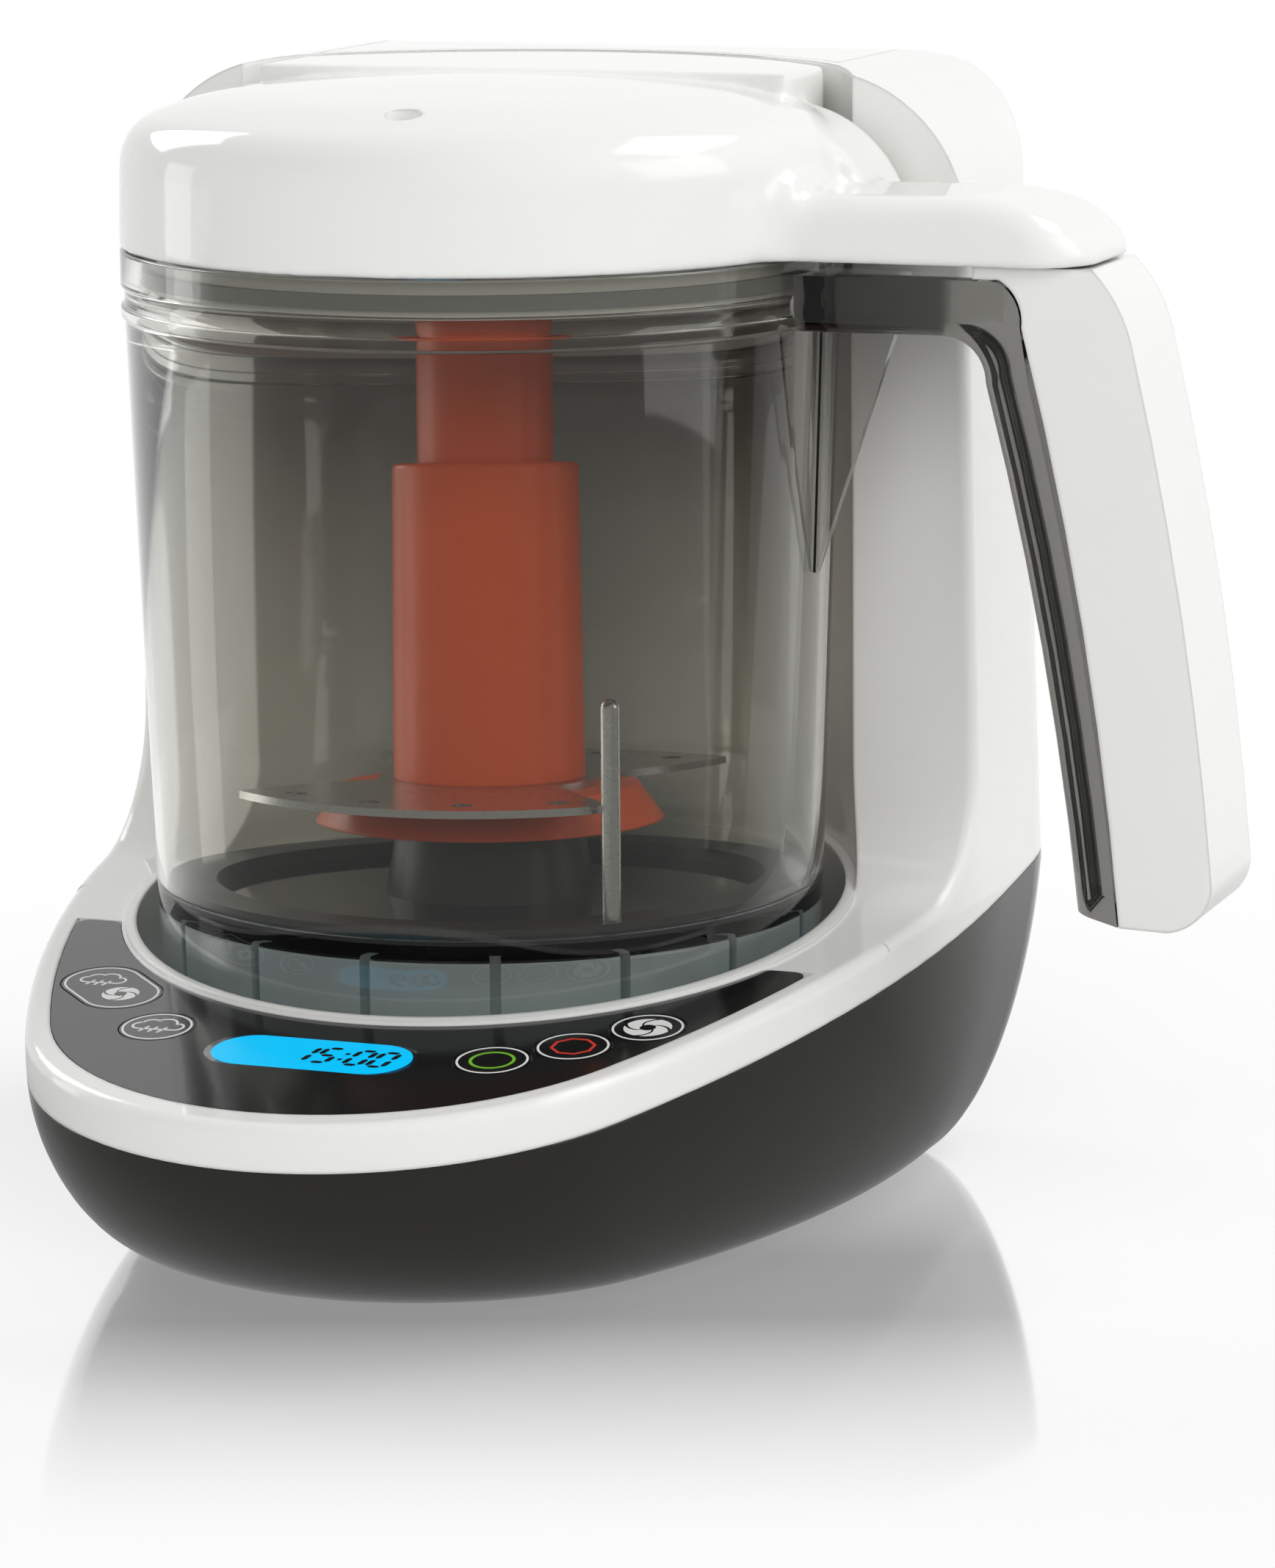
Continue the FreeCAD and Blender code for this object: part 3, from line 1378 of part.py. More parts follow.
plug = keep(body("lid_plug"))
plate_low = lid_plane + d.seam_gap
plug_radius = mouth - d.gasket_section - d.seam_gap * 2
plug_low = lid_plane - d.plug_depth
plate_radius = d.lid_radius - d.lid_wall - d.seam_gap
turn(plug, [(0, plate_low), (plug_radius - d.plug_wall, plate_low), (plug_radius - d.plug_wall, plug_low),
            (plug_radius, plug_low), (plug_radius, plate_low), (plate_radius, plate_low),
            (plate_radius, plate_low + d.plug_wall), (0, plate_low + d.plug_wall)])


def steam_hole_plan(sketch):
    disc(sketch, d.steam_hole_ring, size(0), d.steam_hole)


steam_hole = pocket(plug, sketch_in(plug, "XY", "steam_hole", steam_hole_plan, plate_low + d.plug_wall),
                    d.plug_wall * 2, "steam_hole_cut")
around(plug, steam_hole, d.steam_hole_count)
gasket = keep(body("lid_gasket"))
gasket_low = plug_low + d.gasket_section
ring(gasket, plug_radius, plug_radius + d.gasket_section, gasket_low, gasket_low + d.gasket_section * 2)

inlet = keep(body("steam_inlet"))
ring(inlet, d.port_radius, port_outer, d.lid_radius - d.port_radius * 2, d.lid_radius + d.seam_gap)
aim(inlet, port_height)


# Tank lid: the tower's top rear strip, hinged on a pin at the back

flap = keep(body("tank_lid"))
flap_inner = d.rear_round - d.wall


def flap_side(sketch):
    bend_y, bend_z = rear_top - d.rear_round, d.tower_top - d.rear_round
    outline(sketch, [(d.tower_front, d.tower_top - d.wall), (bend_y, d.tower_top - d.wall),
                     (rear_top - d.wall, bend_z, flap_inner, -1), (rear_top - d.wall, lid_edge),
                     (rear_top, lid_edge), (rear_top, bend_z), (bend_y, d.tower_top, d.rear_round, 1),
                     (d.tower_front, d.tower_top)])


pad(flap, sketch_in(flap, "YZ", "side", flap_side), d.plateau_half_width * 2, "strip", True)


def flap_front(sketch):
    disc(sketch, size(0), size(0), concave + d.wall + d.seam_gap)


pocket(flap, sketch_in(flap, "XY", "front", flap_front, d.tower_top), d.wall * 2, "front_cut")


def barrel_side(sketch):
    # The barrel round the pin and the web that carries it
    outline(sketch, [(hinge_y - d.hinge_radius, hinge_height),
                     (hinge_y, hinge_height - d.hinge_radius, d.hinge_radius, 1),
                     (hinge_y + d.hinge_radius, hinge_height, d.hinge_radius, 1),
                     (rear_top, lid_edge + d.seam_gap), (rear_top - d.wall, lid_edge + d.seam_gap)])
    disc(sketch, hinge_y, hinge_height, d.hinge_pin_radius + d.running_gap)


barrel_start = d.knuckle_half + d.seam_gap
for side, start in (("right", barrel_start), ("left", -d.barrel_end)):
    pad(flap, sketch_in(flap, "YZ", side + "_barrel", barrel_side, start), d.barrel_end - barrel_start,
        side + "_barrel_pad")


# Water tank in the tower, boiler, hose, steam pipe and nozzle

def tank_form(name, inset, low, side, high):
    room = box(name + "_room", (-wide, d.tower_front, low), (side, far, high))
    block = boolean("MultiCommon", name + "_block", body_form(name + "_form", inset), room)
    return boolean("Cut", name, block, cylinder(name + "_core", concave + inset, 0, far))


tank_inset = d.wall + d.tank_gap
tank_outside = tank_form("tank_outside", tank_inset, d.tank_bottom, d.tank_side, tank_top)
tank_inside = tank_form("tank_inside", tank_inset + d.tank_wall, d.tank_bottom + d.tank_wall,
                        d.tank_side - d.tank_wall, far)
keep(boolean("Cut", "water_tank", tank_outside, tank_inside))

boiler_top = d.boiler_bottom + d.boiler_height
boiler_x1 = wall_half(boiler_top) - d.wall - d.seam_gap
boiler_x0 = boiler_x1 - d.boiler_width
boiler = keep(body("boiler"))
boiler_pad = pad(boiler, sketch_in(boiler, "XY", "plan", lambda s: rectangle(
    s, boiler_x0, d.boiler_y - d.boiler_length / 2, boiler_x1, d.boiler_y + d.boiler_length / 2),
    d.boiler_bottom), d.boiler_height)
fillet(boiler, boiler_pad, lambda edge, middle: is_upright(edge), d.boiler_round)

pipe = keep(body("steam_pipe"))
bend = d.pipe_bend
pipe_end = concave + d.wall


def pipe_section(sketch):
    disc(sketch, d.pipe_at, size(0), d.pipe_radius)


pipe_circle = sketch_in(pipe, "XY", "section", pipe_section, boiler_top)


def pipe_route(sketch):
    top = port_height - bend
    points = [FreeCAD.Vector(d.pipe_at.value, boiler_top.value, 0),
              FreeCAD.Vector(d.pipe_at.value, top.value, 0),
              FreeCAD.Vector((d.pipe_at - bend).value, port_height.value, 0),
              FreeCAD.Vector(pipe_end.value, port_height.value, 0)]
    rise = sketch.addGeometry(Part.LineSegment(points[0], points[1]))
    centre = FreeCAD.Vector((d.pipe_at - bend).value, top.value, 0)
    circle = Part.Circle(centre, FreeCAD.Vector(0, 0, 1), bend.value)
    curve = sketch.addGeometry(Part.ArcOfCircle(circle, 0, math.pi / 2))
    reach = sketch.addGeometry(Part.LineSegment(points[2], points[3]))
    sketch.addConstraint(Sketcher.Constraint("Coincident", rise, 2, curve, 1))
    sketch.addConstraint(Sketcher.Constraint("Coincident", curve, 2, reach, 1))
    fix_radius(sketch, curve, bend)
    pin_point(sketch, rise, 1, d.pipe_at, boiler_top)
    pin_point(sketch, rise, 2, d.pipe_at, top)
    pin_point(sketch, reach, 1, d.pipe_at - bend, port_height)
    pin_point(sketch, reach, 2, pipe_end, port_height)


spine = sketch_in(pipe, "XZ", "route", pipe_route)
sweep = pipe.newObject("PartDesign::AdditivePipe", "steam_pipe_sweep")
sweep.Profile = pipe_circle
sweep.Spine = spine
port_turn = FreeCAD.Rotation(FreeCAD.Vector(0, 0, 1), d.port_angle.value)
pipe.Placement = FreeCAD.Placement(FreeCAD.Vector(), port_turn)

nozzle = keep(body("steam_nozzle"))
ring(nozzle, d.port_radius, port_outer, concave - d.bead_height, d.pipe_at - bend)
aim(nozzle, port_height)


# Power inlet at the rear and power board on the cover's posts

power = keep(body("power_inlet"))
inlet_face = d.rear_reach - d.hull_rear_inset / 2
inlet_gap = d.running_gap * 2


def inlet_block(sketch):
    rectangle(sketch, inlet_left + inlet_gap, inlet_low + inlet_gap, inlet_right - inlet_gap,
              inlet_high - inlet_gap)


def inlet_cavity(sketch):
    slot(sketch, d.inlet_x, d.inlet_z, d.socket_spread, d.socket_radius)


pad(power, sketch_in(power, "XZ", "block", inlet_block, -inlet_face), d.inlet_depth)
pocket(power, sketch_in(power, "XZ", "cavity", inlet_cavity, -inlet_face), d.inlet_depth / 2,
       "cavity_cut", True)

supply = keep(body("power_board"))
low_x, high_x = d.power_x - d.power_width / 2, d.power_x + d.power_width / 2
low_y, high_y = d.power_y - d.power_length / 2, d.power_y + d.power_length / 2


def plate_plan(sketch):
    rectangle(sketch, low_x, low_y, high_x, high_y)


def transformer_plan(sketch):
    rectangle(sketch, low_x + post_radius, d.power_y, high_x - post_radius, high_y - post_radius * 2)


def capacitor_plan(sketch):
    disc(sketch, d.power_x, low_y + d.capacitor_radius * 2, d.capacitor_radius)


pad(supply, sketch_in(supply, "XY", "plate", plate_plan, board_lift), d.board_thickness)
pad(supply, sketch_in(supply, "XY", "transformer", transformer_plan, board_lift), d.transformer_height,
    "transformer_pad")
pad(supply, sketch_in(supply, "XY", "capacitor", capacitor_plan, board_lift), d.capacitor_height,
    "capacitor_pad")


# Move every piece so that the origin is the middle of the footprint, then write the parts

for piece in pieces:
    for axis, shift in (("x", shift_x), ("y", shift_y)):
        path = "Placement.Base." + axis
        formulas = [formula for name, formula in piece.ExpressionEngine if name.lstrip(".") == path]
        start = formulas[0] if formulas else "0"
        piece.setExpression(path, "%s + %s" % (start, shift.formula))
doc.recompute()

os.makedirs("parts", exist_ok=True)
for piece in pieces:
    broken = "Invalid" in piece.State or "Error" in piece.State
    if broken or piece.Shape.isNull() or not piece.Shape.isValid():
        raise ValueError("%s is not a sound solid" % piece.Label)
for piece in pieces:
    piece.Shape.exportStep("parts/%s.step" % piece.Label)
    print("%-18s solids %d  volume %9.0f mm3" % (piece.Label, len(piece.Shape.Solids), piece.Shape.Volume))
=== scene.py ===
import json
import math

import bmesh
import bpy
from mathutils import Matrix, Vector


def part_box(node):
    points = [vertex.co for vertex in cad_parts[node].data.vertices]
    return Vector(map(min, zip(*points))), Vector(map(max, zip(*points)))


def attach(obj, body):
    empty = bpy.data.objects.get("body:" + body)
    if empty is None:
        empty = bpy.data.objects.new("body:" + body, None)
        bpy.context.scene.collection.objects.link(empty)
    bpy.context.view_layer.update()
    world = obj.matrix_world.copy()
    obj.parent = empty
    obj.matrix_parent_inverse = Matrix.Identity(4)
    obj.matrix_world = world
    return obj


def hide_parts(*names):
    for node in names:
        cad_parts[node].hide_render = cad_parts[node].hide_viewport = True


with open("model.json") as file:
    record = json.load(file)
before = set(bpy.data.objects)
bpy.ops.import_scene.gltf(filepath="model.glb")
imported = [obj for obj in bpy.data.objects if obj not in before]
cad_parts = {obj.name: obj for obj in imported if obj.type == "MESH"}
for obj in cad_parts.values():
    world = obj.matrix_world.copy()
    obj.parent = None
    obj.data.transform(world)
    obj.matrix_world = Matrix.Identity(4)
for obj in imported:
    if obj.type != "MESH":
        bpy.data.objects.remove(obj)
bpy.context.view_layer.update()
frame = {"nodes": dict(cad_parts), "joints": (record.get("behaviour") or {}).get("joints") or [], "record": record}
mm = 0.001
tiny = 1e-9
arcStep, fewestSteps = math.radians(5), 6  # how finely arcs are drawn
edgeSteps = 8  # facets across a rounded edge
smoothAngle = 38  # faces that meet at less than this shade as one

# Everything is laid out from the bowl's axis, which the blade turns about
bladeJoint = next(joint for joint in frame["joints"] if joint["name"] == "blade_spin")
axisX, axisY = bladeJoint["pos_m"][:2]


def place(x, y, z):
    return Vector((axisX + x * mm, axisY + y * mm, z * mm))


def linear(hexText):
    # sRGB to linear light
    channels = [int(hexText[i:i + 2], 16) / 255 for i in (1, 3, 5)]
    return tuple(c / 12.92 if c <= 0.04045 else ((c + 0.055) / 1.055) ** 2.4 for c in channels) + (1.0,)


def addNode(tree, kind, links=(), **settings):
    # links: (this node's input, other node's output); a setting is a property or an input's value
    node = tree.nodes.new(kind)
    for name, value in settings.items():
        if hasattr(node, name):
            setattr(node, name, value)
        else:
            node.inputs[name.replace("_", " ")].default_value = value
    for name, output in links:
        tree.links.new(node.inputs[name], output)
    return node


def newMaterial(name, colour, roughness, ior=1.5, metallic=0.0, **sockets):
    material = bpy.data.materials.new(name)
    material.use_nodes = True
    shader = material.node_tree.nodes["Principled BSDF"]
    shader.inputs["Base Color"].default_value = linear(colour)
    shader.inputs["Roughness"].default_value = roughness
    shader.inputs["Metallic"].default_value = metallic
    if not metallic:  # a metal keeps the default
        shader.inputs["IOR"].default_value = ior
    for socket, value in sockets.items():
        shader.inputs[socket.replace("_", " ")].default_value = value
    return material, material.node_tree, shader


# Sizes and depths in mm, gloss as a share of the roughness
mouldSet = {"cloudSize": 18.0, "cloudDetail": 3.0, "glossLow": 0.85, "glossHigh": 1.2, "peelDetail": 2.0,
            "peelDeep": 0.1, "cornerSamples": 4}
clearSet = {"flowSize": 25.0, "flowDetail": 1.0, "flowStrength": 0.05, "flowDeep": 0.2}
lineSet = {"detail": 3.0, "glossLow": 0.7, "glossHigh": 1.4, "strength": 0.1, "deep": 0.05}
mixFirst, mixSecond, mixResult = 6, 7, 2  # where a Mix node has its colours


def mould(name, colour, shade, roughness, waviness, grainSize, edge=0.0, **sockets):
    # Moulded plastic: slightly uneven colour and gloss, the faint orange peel of a polished tool,
    # and edges that the tool leaves round
    material, tree, shader = newMaterial(name, colour, roughness, **sockets)
    coords = addNode(tree, "ShaderNodeTexCoord")
    cloud = addNode(tree, "ShaderNodeTexNoise", [("Vector", coords.outputs["Object"])],
                    Scale=1 / (mouldSet["cloudSize"] * mm), Detail=mouldSet["cloudDetail"])
    tint = addNode(tree, "ShaderNodeMix", [("Factor", cloud.outputs["Fac"])], data_type="RGBA")
    tint.inputs[mixFirst].default_value = linear(colour)
    tint.inputs[mixSecond].default_value = linear(shade)
    tree.links.new(shader.inputs["Base Color"], tint.outputs[mixResult])
    gloss = addNode(tree, "ShaderNodeMapRange", [("Value", cloud.outputs["Fac"])],
                    To_Min=roughness * mouldSet["glossLow"], To_Max=roughness * mouldSet["glossHigh"])
    tree.links.new(shader.inputs["Roughness"], gloss.outputs["Result"])
    peel = addNode(tree, "ShaderNodeTexNoise", [("Vector", coords.outputs["Object"])],
                   Scale=1 / (grainSize * mm), Detail=mouldSet["peelDetail"])
    bump = addNode(tree, "ShaderNodeBump", [("Height", peel.outputs["Fac"])], Strength=waviness,
                   Distance=mouldSet["peelDeep"] * mm)
    if edge:
        corner = addNode(tree, "ShaderNodeBevel", samples=mouldSet["cornerSamples"], Radius=edge * mm)
        tree.links.new(bump.inputs["Normal"], corner.outputs["Normal"])
    tree.links.new(shader.inputs["Normal"], bump.outputs["Normal"])
    return material


def clearMould(name, colour, shadow, roughness, ior, clear=1.0):
    # Clear moulded plastic: tinted all through, with faint flow lines, and its shadow stays light
    material, tree, shader = newMaterial(name, colour, roughness, ior=ior, Transmission_Weight=clear)
    coords = addNode(tree, "ShaderNodeTexCoord")
    flow = addNode(tree, "ShaderNodeTexNoise", [("Vector", coords.outputs["Object"])],
                   Scale=1 / (clearSet["flowSize"] * mm), Detail=clearSet["flowDetail"])
    ripple = addNode(tree, "ShaderNodeBump", [("Height", flow.outputs["Fac"])],
                     Strength=clearSet["flowStrength"], Distance=clearSet["flowDeep"] * mm)
    tree.links.new(shader.inputs["Normal"], ripple.outputs["Normal"])
    paths = addNode(tree, "ShaderNodeLightPath")
    veil = addNode(tree, "ShaderNodeBsdfTransparent", Color=linear(shadow))
    mixed = addNode(tree, "ShaderNodeMixShader", [("Fac", paths.outputs["Is Shadow Ray"]),
                                                  (1, shader.outputs[0]), (2, veil.outputs[0])])
    tree.links.new(tree.nodes["Material Output"].inputs["Surface"], mixed.outputs[0])
    return material


def machined(name, colour, roughness, lineWidth, stretch):
    # Metal with fine lines along one way, which draw its highlights out across them
    material, tree, shader = newMaterial(name, colour, roughness, metallic=1.0)
    coords = addNode(tree, "ShaderNodeTexCoord")
    drawn = addNode(tree, "ShaderNodeMapping", [("Vector", coords.outputs["Object"])], Scale=stretch)
    lines = addNode(tree, "ShaderNodeTexNoise", [("Vector", drawn.outputs["Vector"])],
                    Scale=1 / (lineWidth * mm), Detail=lineSet["detail"])
    gloss = addNode(tree, "ShaderNodeMapRange", [("Value", lines.outputs["Fac"])],
                    To_Min=roughness * lineSet["glossLow"], To_Max=roughness * lineSet["glossHigh"])
    tree.links.new(shader.inputs["Roughness"], gloss.outputs["Result"])
    bump = addNode(tree, "ShaderNodeBump", [("Height", lines.outputs["Fac"])],
                   Strength=lineSet["strength"], Distance=lineSet["deep"] * mm)
    tree.links.new(shader.inputs["Normal"], bump.outputs["Normal"])
    return material


# ABS from a polished tool: bright white, clear reflections
whiteAbs = mould("whiteAbsPolished", "#EFEFEC", "#EDEDEA", 0.055, 0.012, 2.5, edge=1.2, ior=1.53)
# The same plastic in warm black: nearly a mirror at the edges
darkAbs = mould("darkAbsPolished", "#24231F", "#21201C", 0.08, 0.02, 2.5, edge=0.8, ior=1.53)
# Printed polycarbonate film: flat, dark and glossy
panelFilm = mould("polycarbonateFilmPrinted", "#1C1C1C", "#191919", 0.12, 0.01, 1.5, ior=1.5)
# Polypropylene from a spark-eroded tool: satin, soft highlights. The grain is drawn coarser than life.
blackPp = mould("blackPolypropyleneMoulded", "#2A2B2B", "#262727", 0.32, 0.06, 0.9, ior=1.49)
terracottaPp = mould("terracottaPolypropyleneMoulded", "#E8602A", "#E25924", 0.34, 0.06, 0.9, edge=0.8,
                     ior=1.49)
# Grey plastic for the seat under the bowl, drawn pale blue-grey: the paleness is painted light, standing in for
# the light that reaches the seat under the bowl
seatPaintedLightPp = mould("greyPolypropyleneMoulded", "#D6DEE0", "#D0D8DA", 0.3, 0.06, 0.9, ior=1.49)
milkyPp = mould("milkyPolypropyleneMoulded", "#DCDCD6", "#D6D6D0", 0.3, 0.05, 0.9, ior=1.49)
# Silicone from a blasted tool: dull and a little dusty
greySilicone = mould("greySiliconeMoulded", "#8C8C8A", "#848482", 0.5, 0.08, 0.6, ior=1.43)
# Solder mask over woven glass: green and half glossy
boardGreen = mould("glassEpoxySolderMask", "#1F5A34", "#1B5130", 0.3, 0.05, 0.8, ior=1.52)
# Copolyester from a polished tool: clear with a grey smoke, which the floor shows more than the wall
smokeBowl = clearMould("smokeCopolyesterMoulded", "#F0F0EB", "#F6F6F2", 0.03, 1.54)
smokeFloor = clearMould("smokeCopolyesterFloor", "#777874", "#8A8B88", 0.04, 1.54)
# The same plastic in the skirt, drawn half clear and pale blue-grey. Its paleness is painted light, standing in
# for the light from the panel and from above that shows in the skirt.
paleSkirtPaintedLight = clearMould("smokeCopolyesterPaleSkirt", "#B6C2C4", "#B6C2C4", 0.12, 1.54, clear=0.45)
# The same plastic in the handle: pale in the thin web, dark in the thick core
smokeWeb = clearMould("smokeCopolyesterWeb", "#D2D1CD", "#D2D1CD", 0.03, 1.54)
smokeCore = clearMould("smokeCopolyesterThick", "#7C7B77", "#7C7B77", 0.04, 1.54)
# Polycarbonate from a polished tool: as clear as glass
clearPc = clearMould("polycarbonateWindowClear", "#F2FAFC", "#F2FAFC", 0.03, 1.58)
# Rolled stainless strip, brushed along its length: long soft highlights. The lines of all three
# metals are drawn coarser than life.
steel = machined("stainlessSteelBrushed", "#C9C9C6", 0.24, 0.25, (0.05, 1.0, 1.0))
# Brass from the lathe: warm, with a fine drawn shine
brass = machined("brassTurned", "#C9A45A", 0.28, 0.3, (1.0, 1.0, 0.1))
# Aluminium as cast: pale, dull and a little grainy
aluminium = machined("aluminiumCast", "#B9BABB", 0.45, 0.8, (1.0, 1.0, 1.0))
# Display glass lit from behind: an even blue glow
lcdGlass = mould("lcdGlassBacklit", "#0093C0", "#008EBA", 0.2, 0.01, 2.0, Specular_IOR_Level=0.2,
                 Emission_Color=linear("#00B8F0"), Emission_Strength=0.68)
# Screen-printed inks: flat and a little chalky, with the grain drawn coarser than life
whiteInk = mould("whiteInkPrinted", "#F4F4F2", "#EFEFED", 0.45, 0.05, 0.4)
greenInk = mould("greenInkPrinted", "#7AC32B", "#74BC27", 0.45, 0.05, 0.4)
redInk = mould("redInkPrinted", "#E03A2A", "#D83424", 0.45, 0.05, 0.4)
# Liquid crystal switched dark: black without a shine of its own
digitBlack = mould("liquidCrystalDark", "#0B1216", "#0A1014", 0.5, 0.02, 1.0, Specular_IOR_Level=0.1)

finishes = {
    "white_shell": whiteAbs, "dark_base": darkAbs, "panel_gloss": panelFilm, "clear_window": clearPc,
    "screen": lcdGlass, "circuit_board": boardGreen, "smoke_clear": smokeBowl, "terracotta": terracottaPp,
    "blade_steel": steel, "motor_steel": steel, "boiler_metal": aluminium, "bush_brass": brass,
    "black_plastic": blackPp, "milky_plastic": milkyPp, "soft_seal": greySilicone,
}
# The seat's pale colour is painted light
ownFinishes = {"vent_bush": whiteAbs, "bowl_seat": seatPaintedLightPp}  # unlike the rest of their slot
for entry in frame["record"]["subparts"]:
    materials = frame["nodes"][entry["node"]].data.materials
    materials.clear()
    materials.append(ownFinishes.get(entry["node"], finishes[entry["material_slot"]]))
print("finishes on", len(frame["nodes"]), "nodes")


def trace(corners, closed=True):
    # An outline: (x, y) is reached by a line, and (x, y, radius, turn) by an arc that turns left (1)
    # or right (-1)
    points = []
    steps = list(zip(corners[-1:] + corners[:-1], corners))
    if not closed:
        points.append(Vector(corners[0][:2]))
        steps = steps[1:]
    for last, step in steps:
        start, stop = Vector(last[:2]), Vector(step[:2])
        if len(step) == 4:
            radius, turn = step[2:]
            chord = stop - start
            rise = math.sqrt(max(radius ** 2 - chord.length_squared / 4, 0)) * turn
            centre = (start + stop) / 2 + Vector((-chord.y, chord.x)).normalized() * rise
            first = math.atan2(start.y - centre.y, start.x - centre.x)
            final = math.atan2(stop.y - centre.y, stop.x - centre.x)
            sweep = ((final - first) * turn) % math.tau * turn
            count = max(fewestSteps, int(abs(sweep) / arcStep))
            for k in range(1, count):
                angle = first + sweep * k / count
                points.append(centre + radius * Vector((math.cos(angle), math.sin(angle))))
        points.append(stop)
    return points


def circle(x, y, radius, count, start=0.0, sweep=math.tau):
    # Points on a circle or, with a smaller sweep, on an arc from its start to its end
    full = abs(sweep - math.tau) < tiny
    angles = [start + sweep * k / (count if full else count - 1) for k in range(count)]
    return [Vector((x + radius * math.cos(a), y + radius * math.sin(a))) for a in angles]


def lathe(bm, profile, closed, segments=160):
    # Turns a line of (radius, height) about the bowl's axis
    rings = []
    for radius, z in profile:
        count = segments if radius > tiny else 1
        angles = [math.tau * k / segments for k in range(count)]
        rings.append([bm.verts.new(place(radius * math.cos(a), radius * math.sin(a), z)) for a in angles])
    pairs = list(zip(rings, rings[1:]))
    if closed:
        pairs.append((rings[-1], rings[0]))
    for low, high in pairs:
        for i in range(segments):
            j = (i + 1) % segments
            corners = [low[i % len(low)], low[j % len(low)], high[j % len(high)], high[i % len(high)]]
            bm.faces.new(list(dict.fromkeys(corners)))


def bridge(bm, rings, closed=False):
    # Joins each ring to the next, and then the last to the first or both to caps, which it gives back
    pairs = list(zip(rings, rings[1:]))
    caps = []
    if closed:
        pairs.append((rings[-1], rings[0]))
    else:
        caps = [bm.faces.new(ring) for ring in (rings[0], rings[-1])]
    for here, there in pairs:
        for k in range(len(here)):
            j = (k + 1) % len(here)
            bm.faces.new((here[k], here[j], there[j], there[k]))
    return caps


def prism(bm, outline, low, high, spot):
    # A flat form: the outline at two levels with walls between them
    return bridge(bm, [[bm.verts.new(spot(a, b, level)) for a, b in outline] for level in (low, high)])


def stroke(bm, line, width, closed, low, high, spot):
    # A printed line of even width along a row of points
    stations = []
    count = len(line)
    for i, point in enumerate(line):
        before = line[i - 1] if closed or i else point
        after = line[(i + 1) % count] if closed or i < count - 1 else point
        along = (after - before).normalized()
        side = Vector((-along.y, along.x)) * width / 2
        corners = [(point + side, low), (point - side, low), (point - side, high), (point + side, high)]
        stations.append([bm.verts.new(spot(p.x, p.y, level)) for p, level in corners])
    bridge(bm, stations, closed)


def spread(line, count):
    # The same line with evenly spaced points
    lengths = [0.0]
    for a, b in zip(line, line[1:]):
        lengths.append(lengths[-1] + (b - a).length)
    points = []
    for k in range(count + 1):
        reach = lengths[-1] * k / count
        i = max(j for j in range(len(line) - 1) if lengths[j] <= reach + tiny)
        points.append(line[i].lerp(line[i + 1], (reach - lengths[i]) / (lengths[i + 1] - lengths[i])))
    return points


def gripLoft(bm, softLine, flatLine, half, edge):
    # A bar between two lines in the side view, with its long edges rounded on the soft line's side
    rings = []
    for soft, flat in zip(softLine, flatLine):
        deep = (flat - soft).length
        section = [(deep, -half)]
        for k in range(edgeSteps + 1):
            angle = math.radians(90 * k / edgeSteps)
            section.append((edge - edge * math.sin(angle), -half + edge - edge * math.cos(angle)))
        section += [(u, -v) for u, v in reversed(section)]
        ring = []
        for u, v in section:
            spot = soft.lerp(flat, u / deep)
            ring.append(bm.verts.new(place(spot.x, v, spot.y)))
        rings.append(ring)
    bridge(bm, rings)


def onSide(x, z, y):
    return place(x, y, z)


def makePiece(name, bm, material, angle=smoothAngle):
    bmesh.ops.recalc_face_normals(bm, faces=bm.faces)
    mesh = bpy.data.meshes.new(name)
    bm.to_mesh(mesh)
    bm.free()
    mesh.materials.append(material)
    piece = bpy.data.objects.new(name, mesh)
    bpy.context.scene.collection.objects.link(piece)
    mesh.shade_smooth()
    mesh.set_sharp_from_angle(angle=math.radians(angle))
    return piece


def bake(piece):
    # The modifiers' result becomes the piece's own mesh
    bpy.context.view_layer.update()
    graph = bpy.context.evaluated_depsgraph_get()
    mesh = bpy.data.meshes.new_from_object(piece.evaluated_get(graph))
    piece.modifiers.clear()
    piece.data = mesh
    mesh.shade_smooth()
    mesh.set_sharp_from_angle(angle=math.radians(smoothAngle))


def combine(piece, tool, operation):
    modifier = piece.modifiers.new(operation.lower(), "BOOLEAN")
    modifier.operation = operation
    modifier.solver = "EXACT"
    modifier.material_mode = "TRANSFER"
    modifier.object = tool
    bake(piece)
    bpy.data.objects.remove(tool)


def dress(piece, body, slot, *nodes):
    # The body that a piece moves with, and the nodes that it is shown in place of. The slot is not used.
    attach(piece, body)
    if nodes:
        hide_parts(*nodes)


# Bowl: clear wall, floor and collar turned about the axis, with ribs below the floor
bowlSet = {"foot": 63.0, "footEdge": 0.9, "footThin": 0.6, "top": 67.2, "wall": 2.4, "wallTop": 172.7,
           "seat": 44.5, "floor": 64.5, "floorThick": 2.5, "floorEdge": 2.0, "underEdge": 1.5, "hole": 13.0,
           "collarLow": 173.3, "rim": 186.0, "mouthEdge": 0.5, "segments": 192, "smoothAngle": 32,
           "collar": [(67.6, 173.3), (67.9, 173.7, 0.6, 1), (67.9, 175.1), (67.5, 175.7, 0.6, 1),
                      (67.2, 176.4), (67.2, 178.1), (67.5, 178.8), (67.9, 179.4, 0.8, -1), (67.9, 185.4),
                      (67.3, 186.0, 0.6, 1)],
           "ribs": 16, "ribDeep": 6.0, "ribThick": 2.0, "ribLift": 0.5, "ribSink": 1.0,
           "paleSkirtDrop": 0.8, "floorMargin": 0.1, "levelFace": 0.9}


def wallAt(z):
    # Outside radius of the bowl's wall
    share = (z - bowlSet["seat"]) / (bowlSet["collarLow"] - bowlSet["seat"])
    return bowlSet["foot"] + (bowlSet["top"] - bowlSet["foot"]) * share


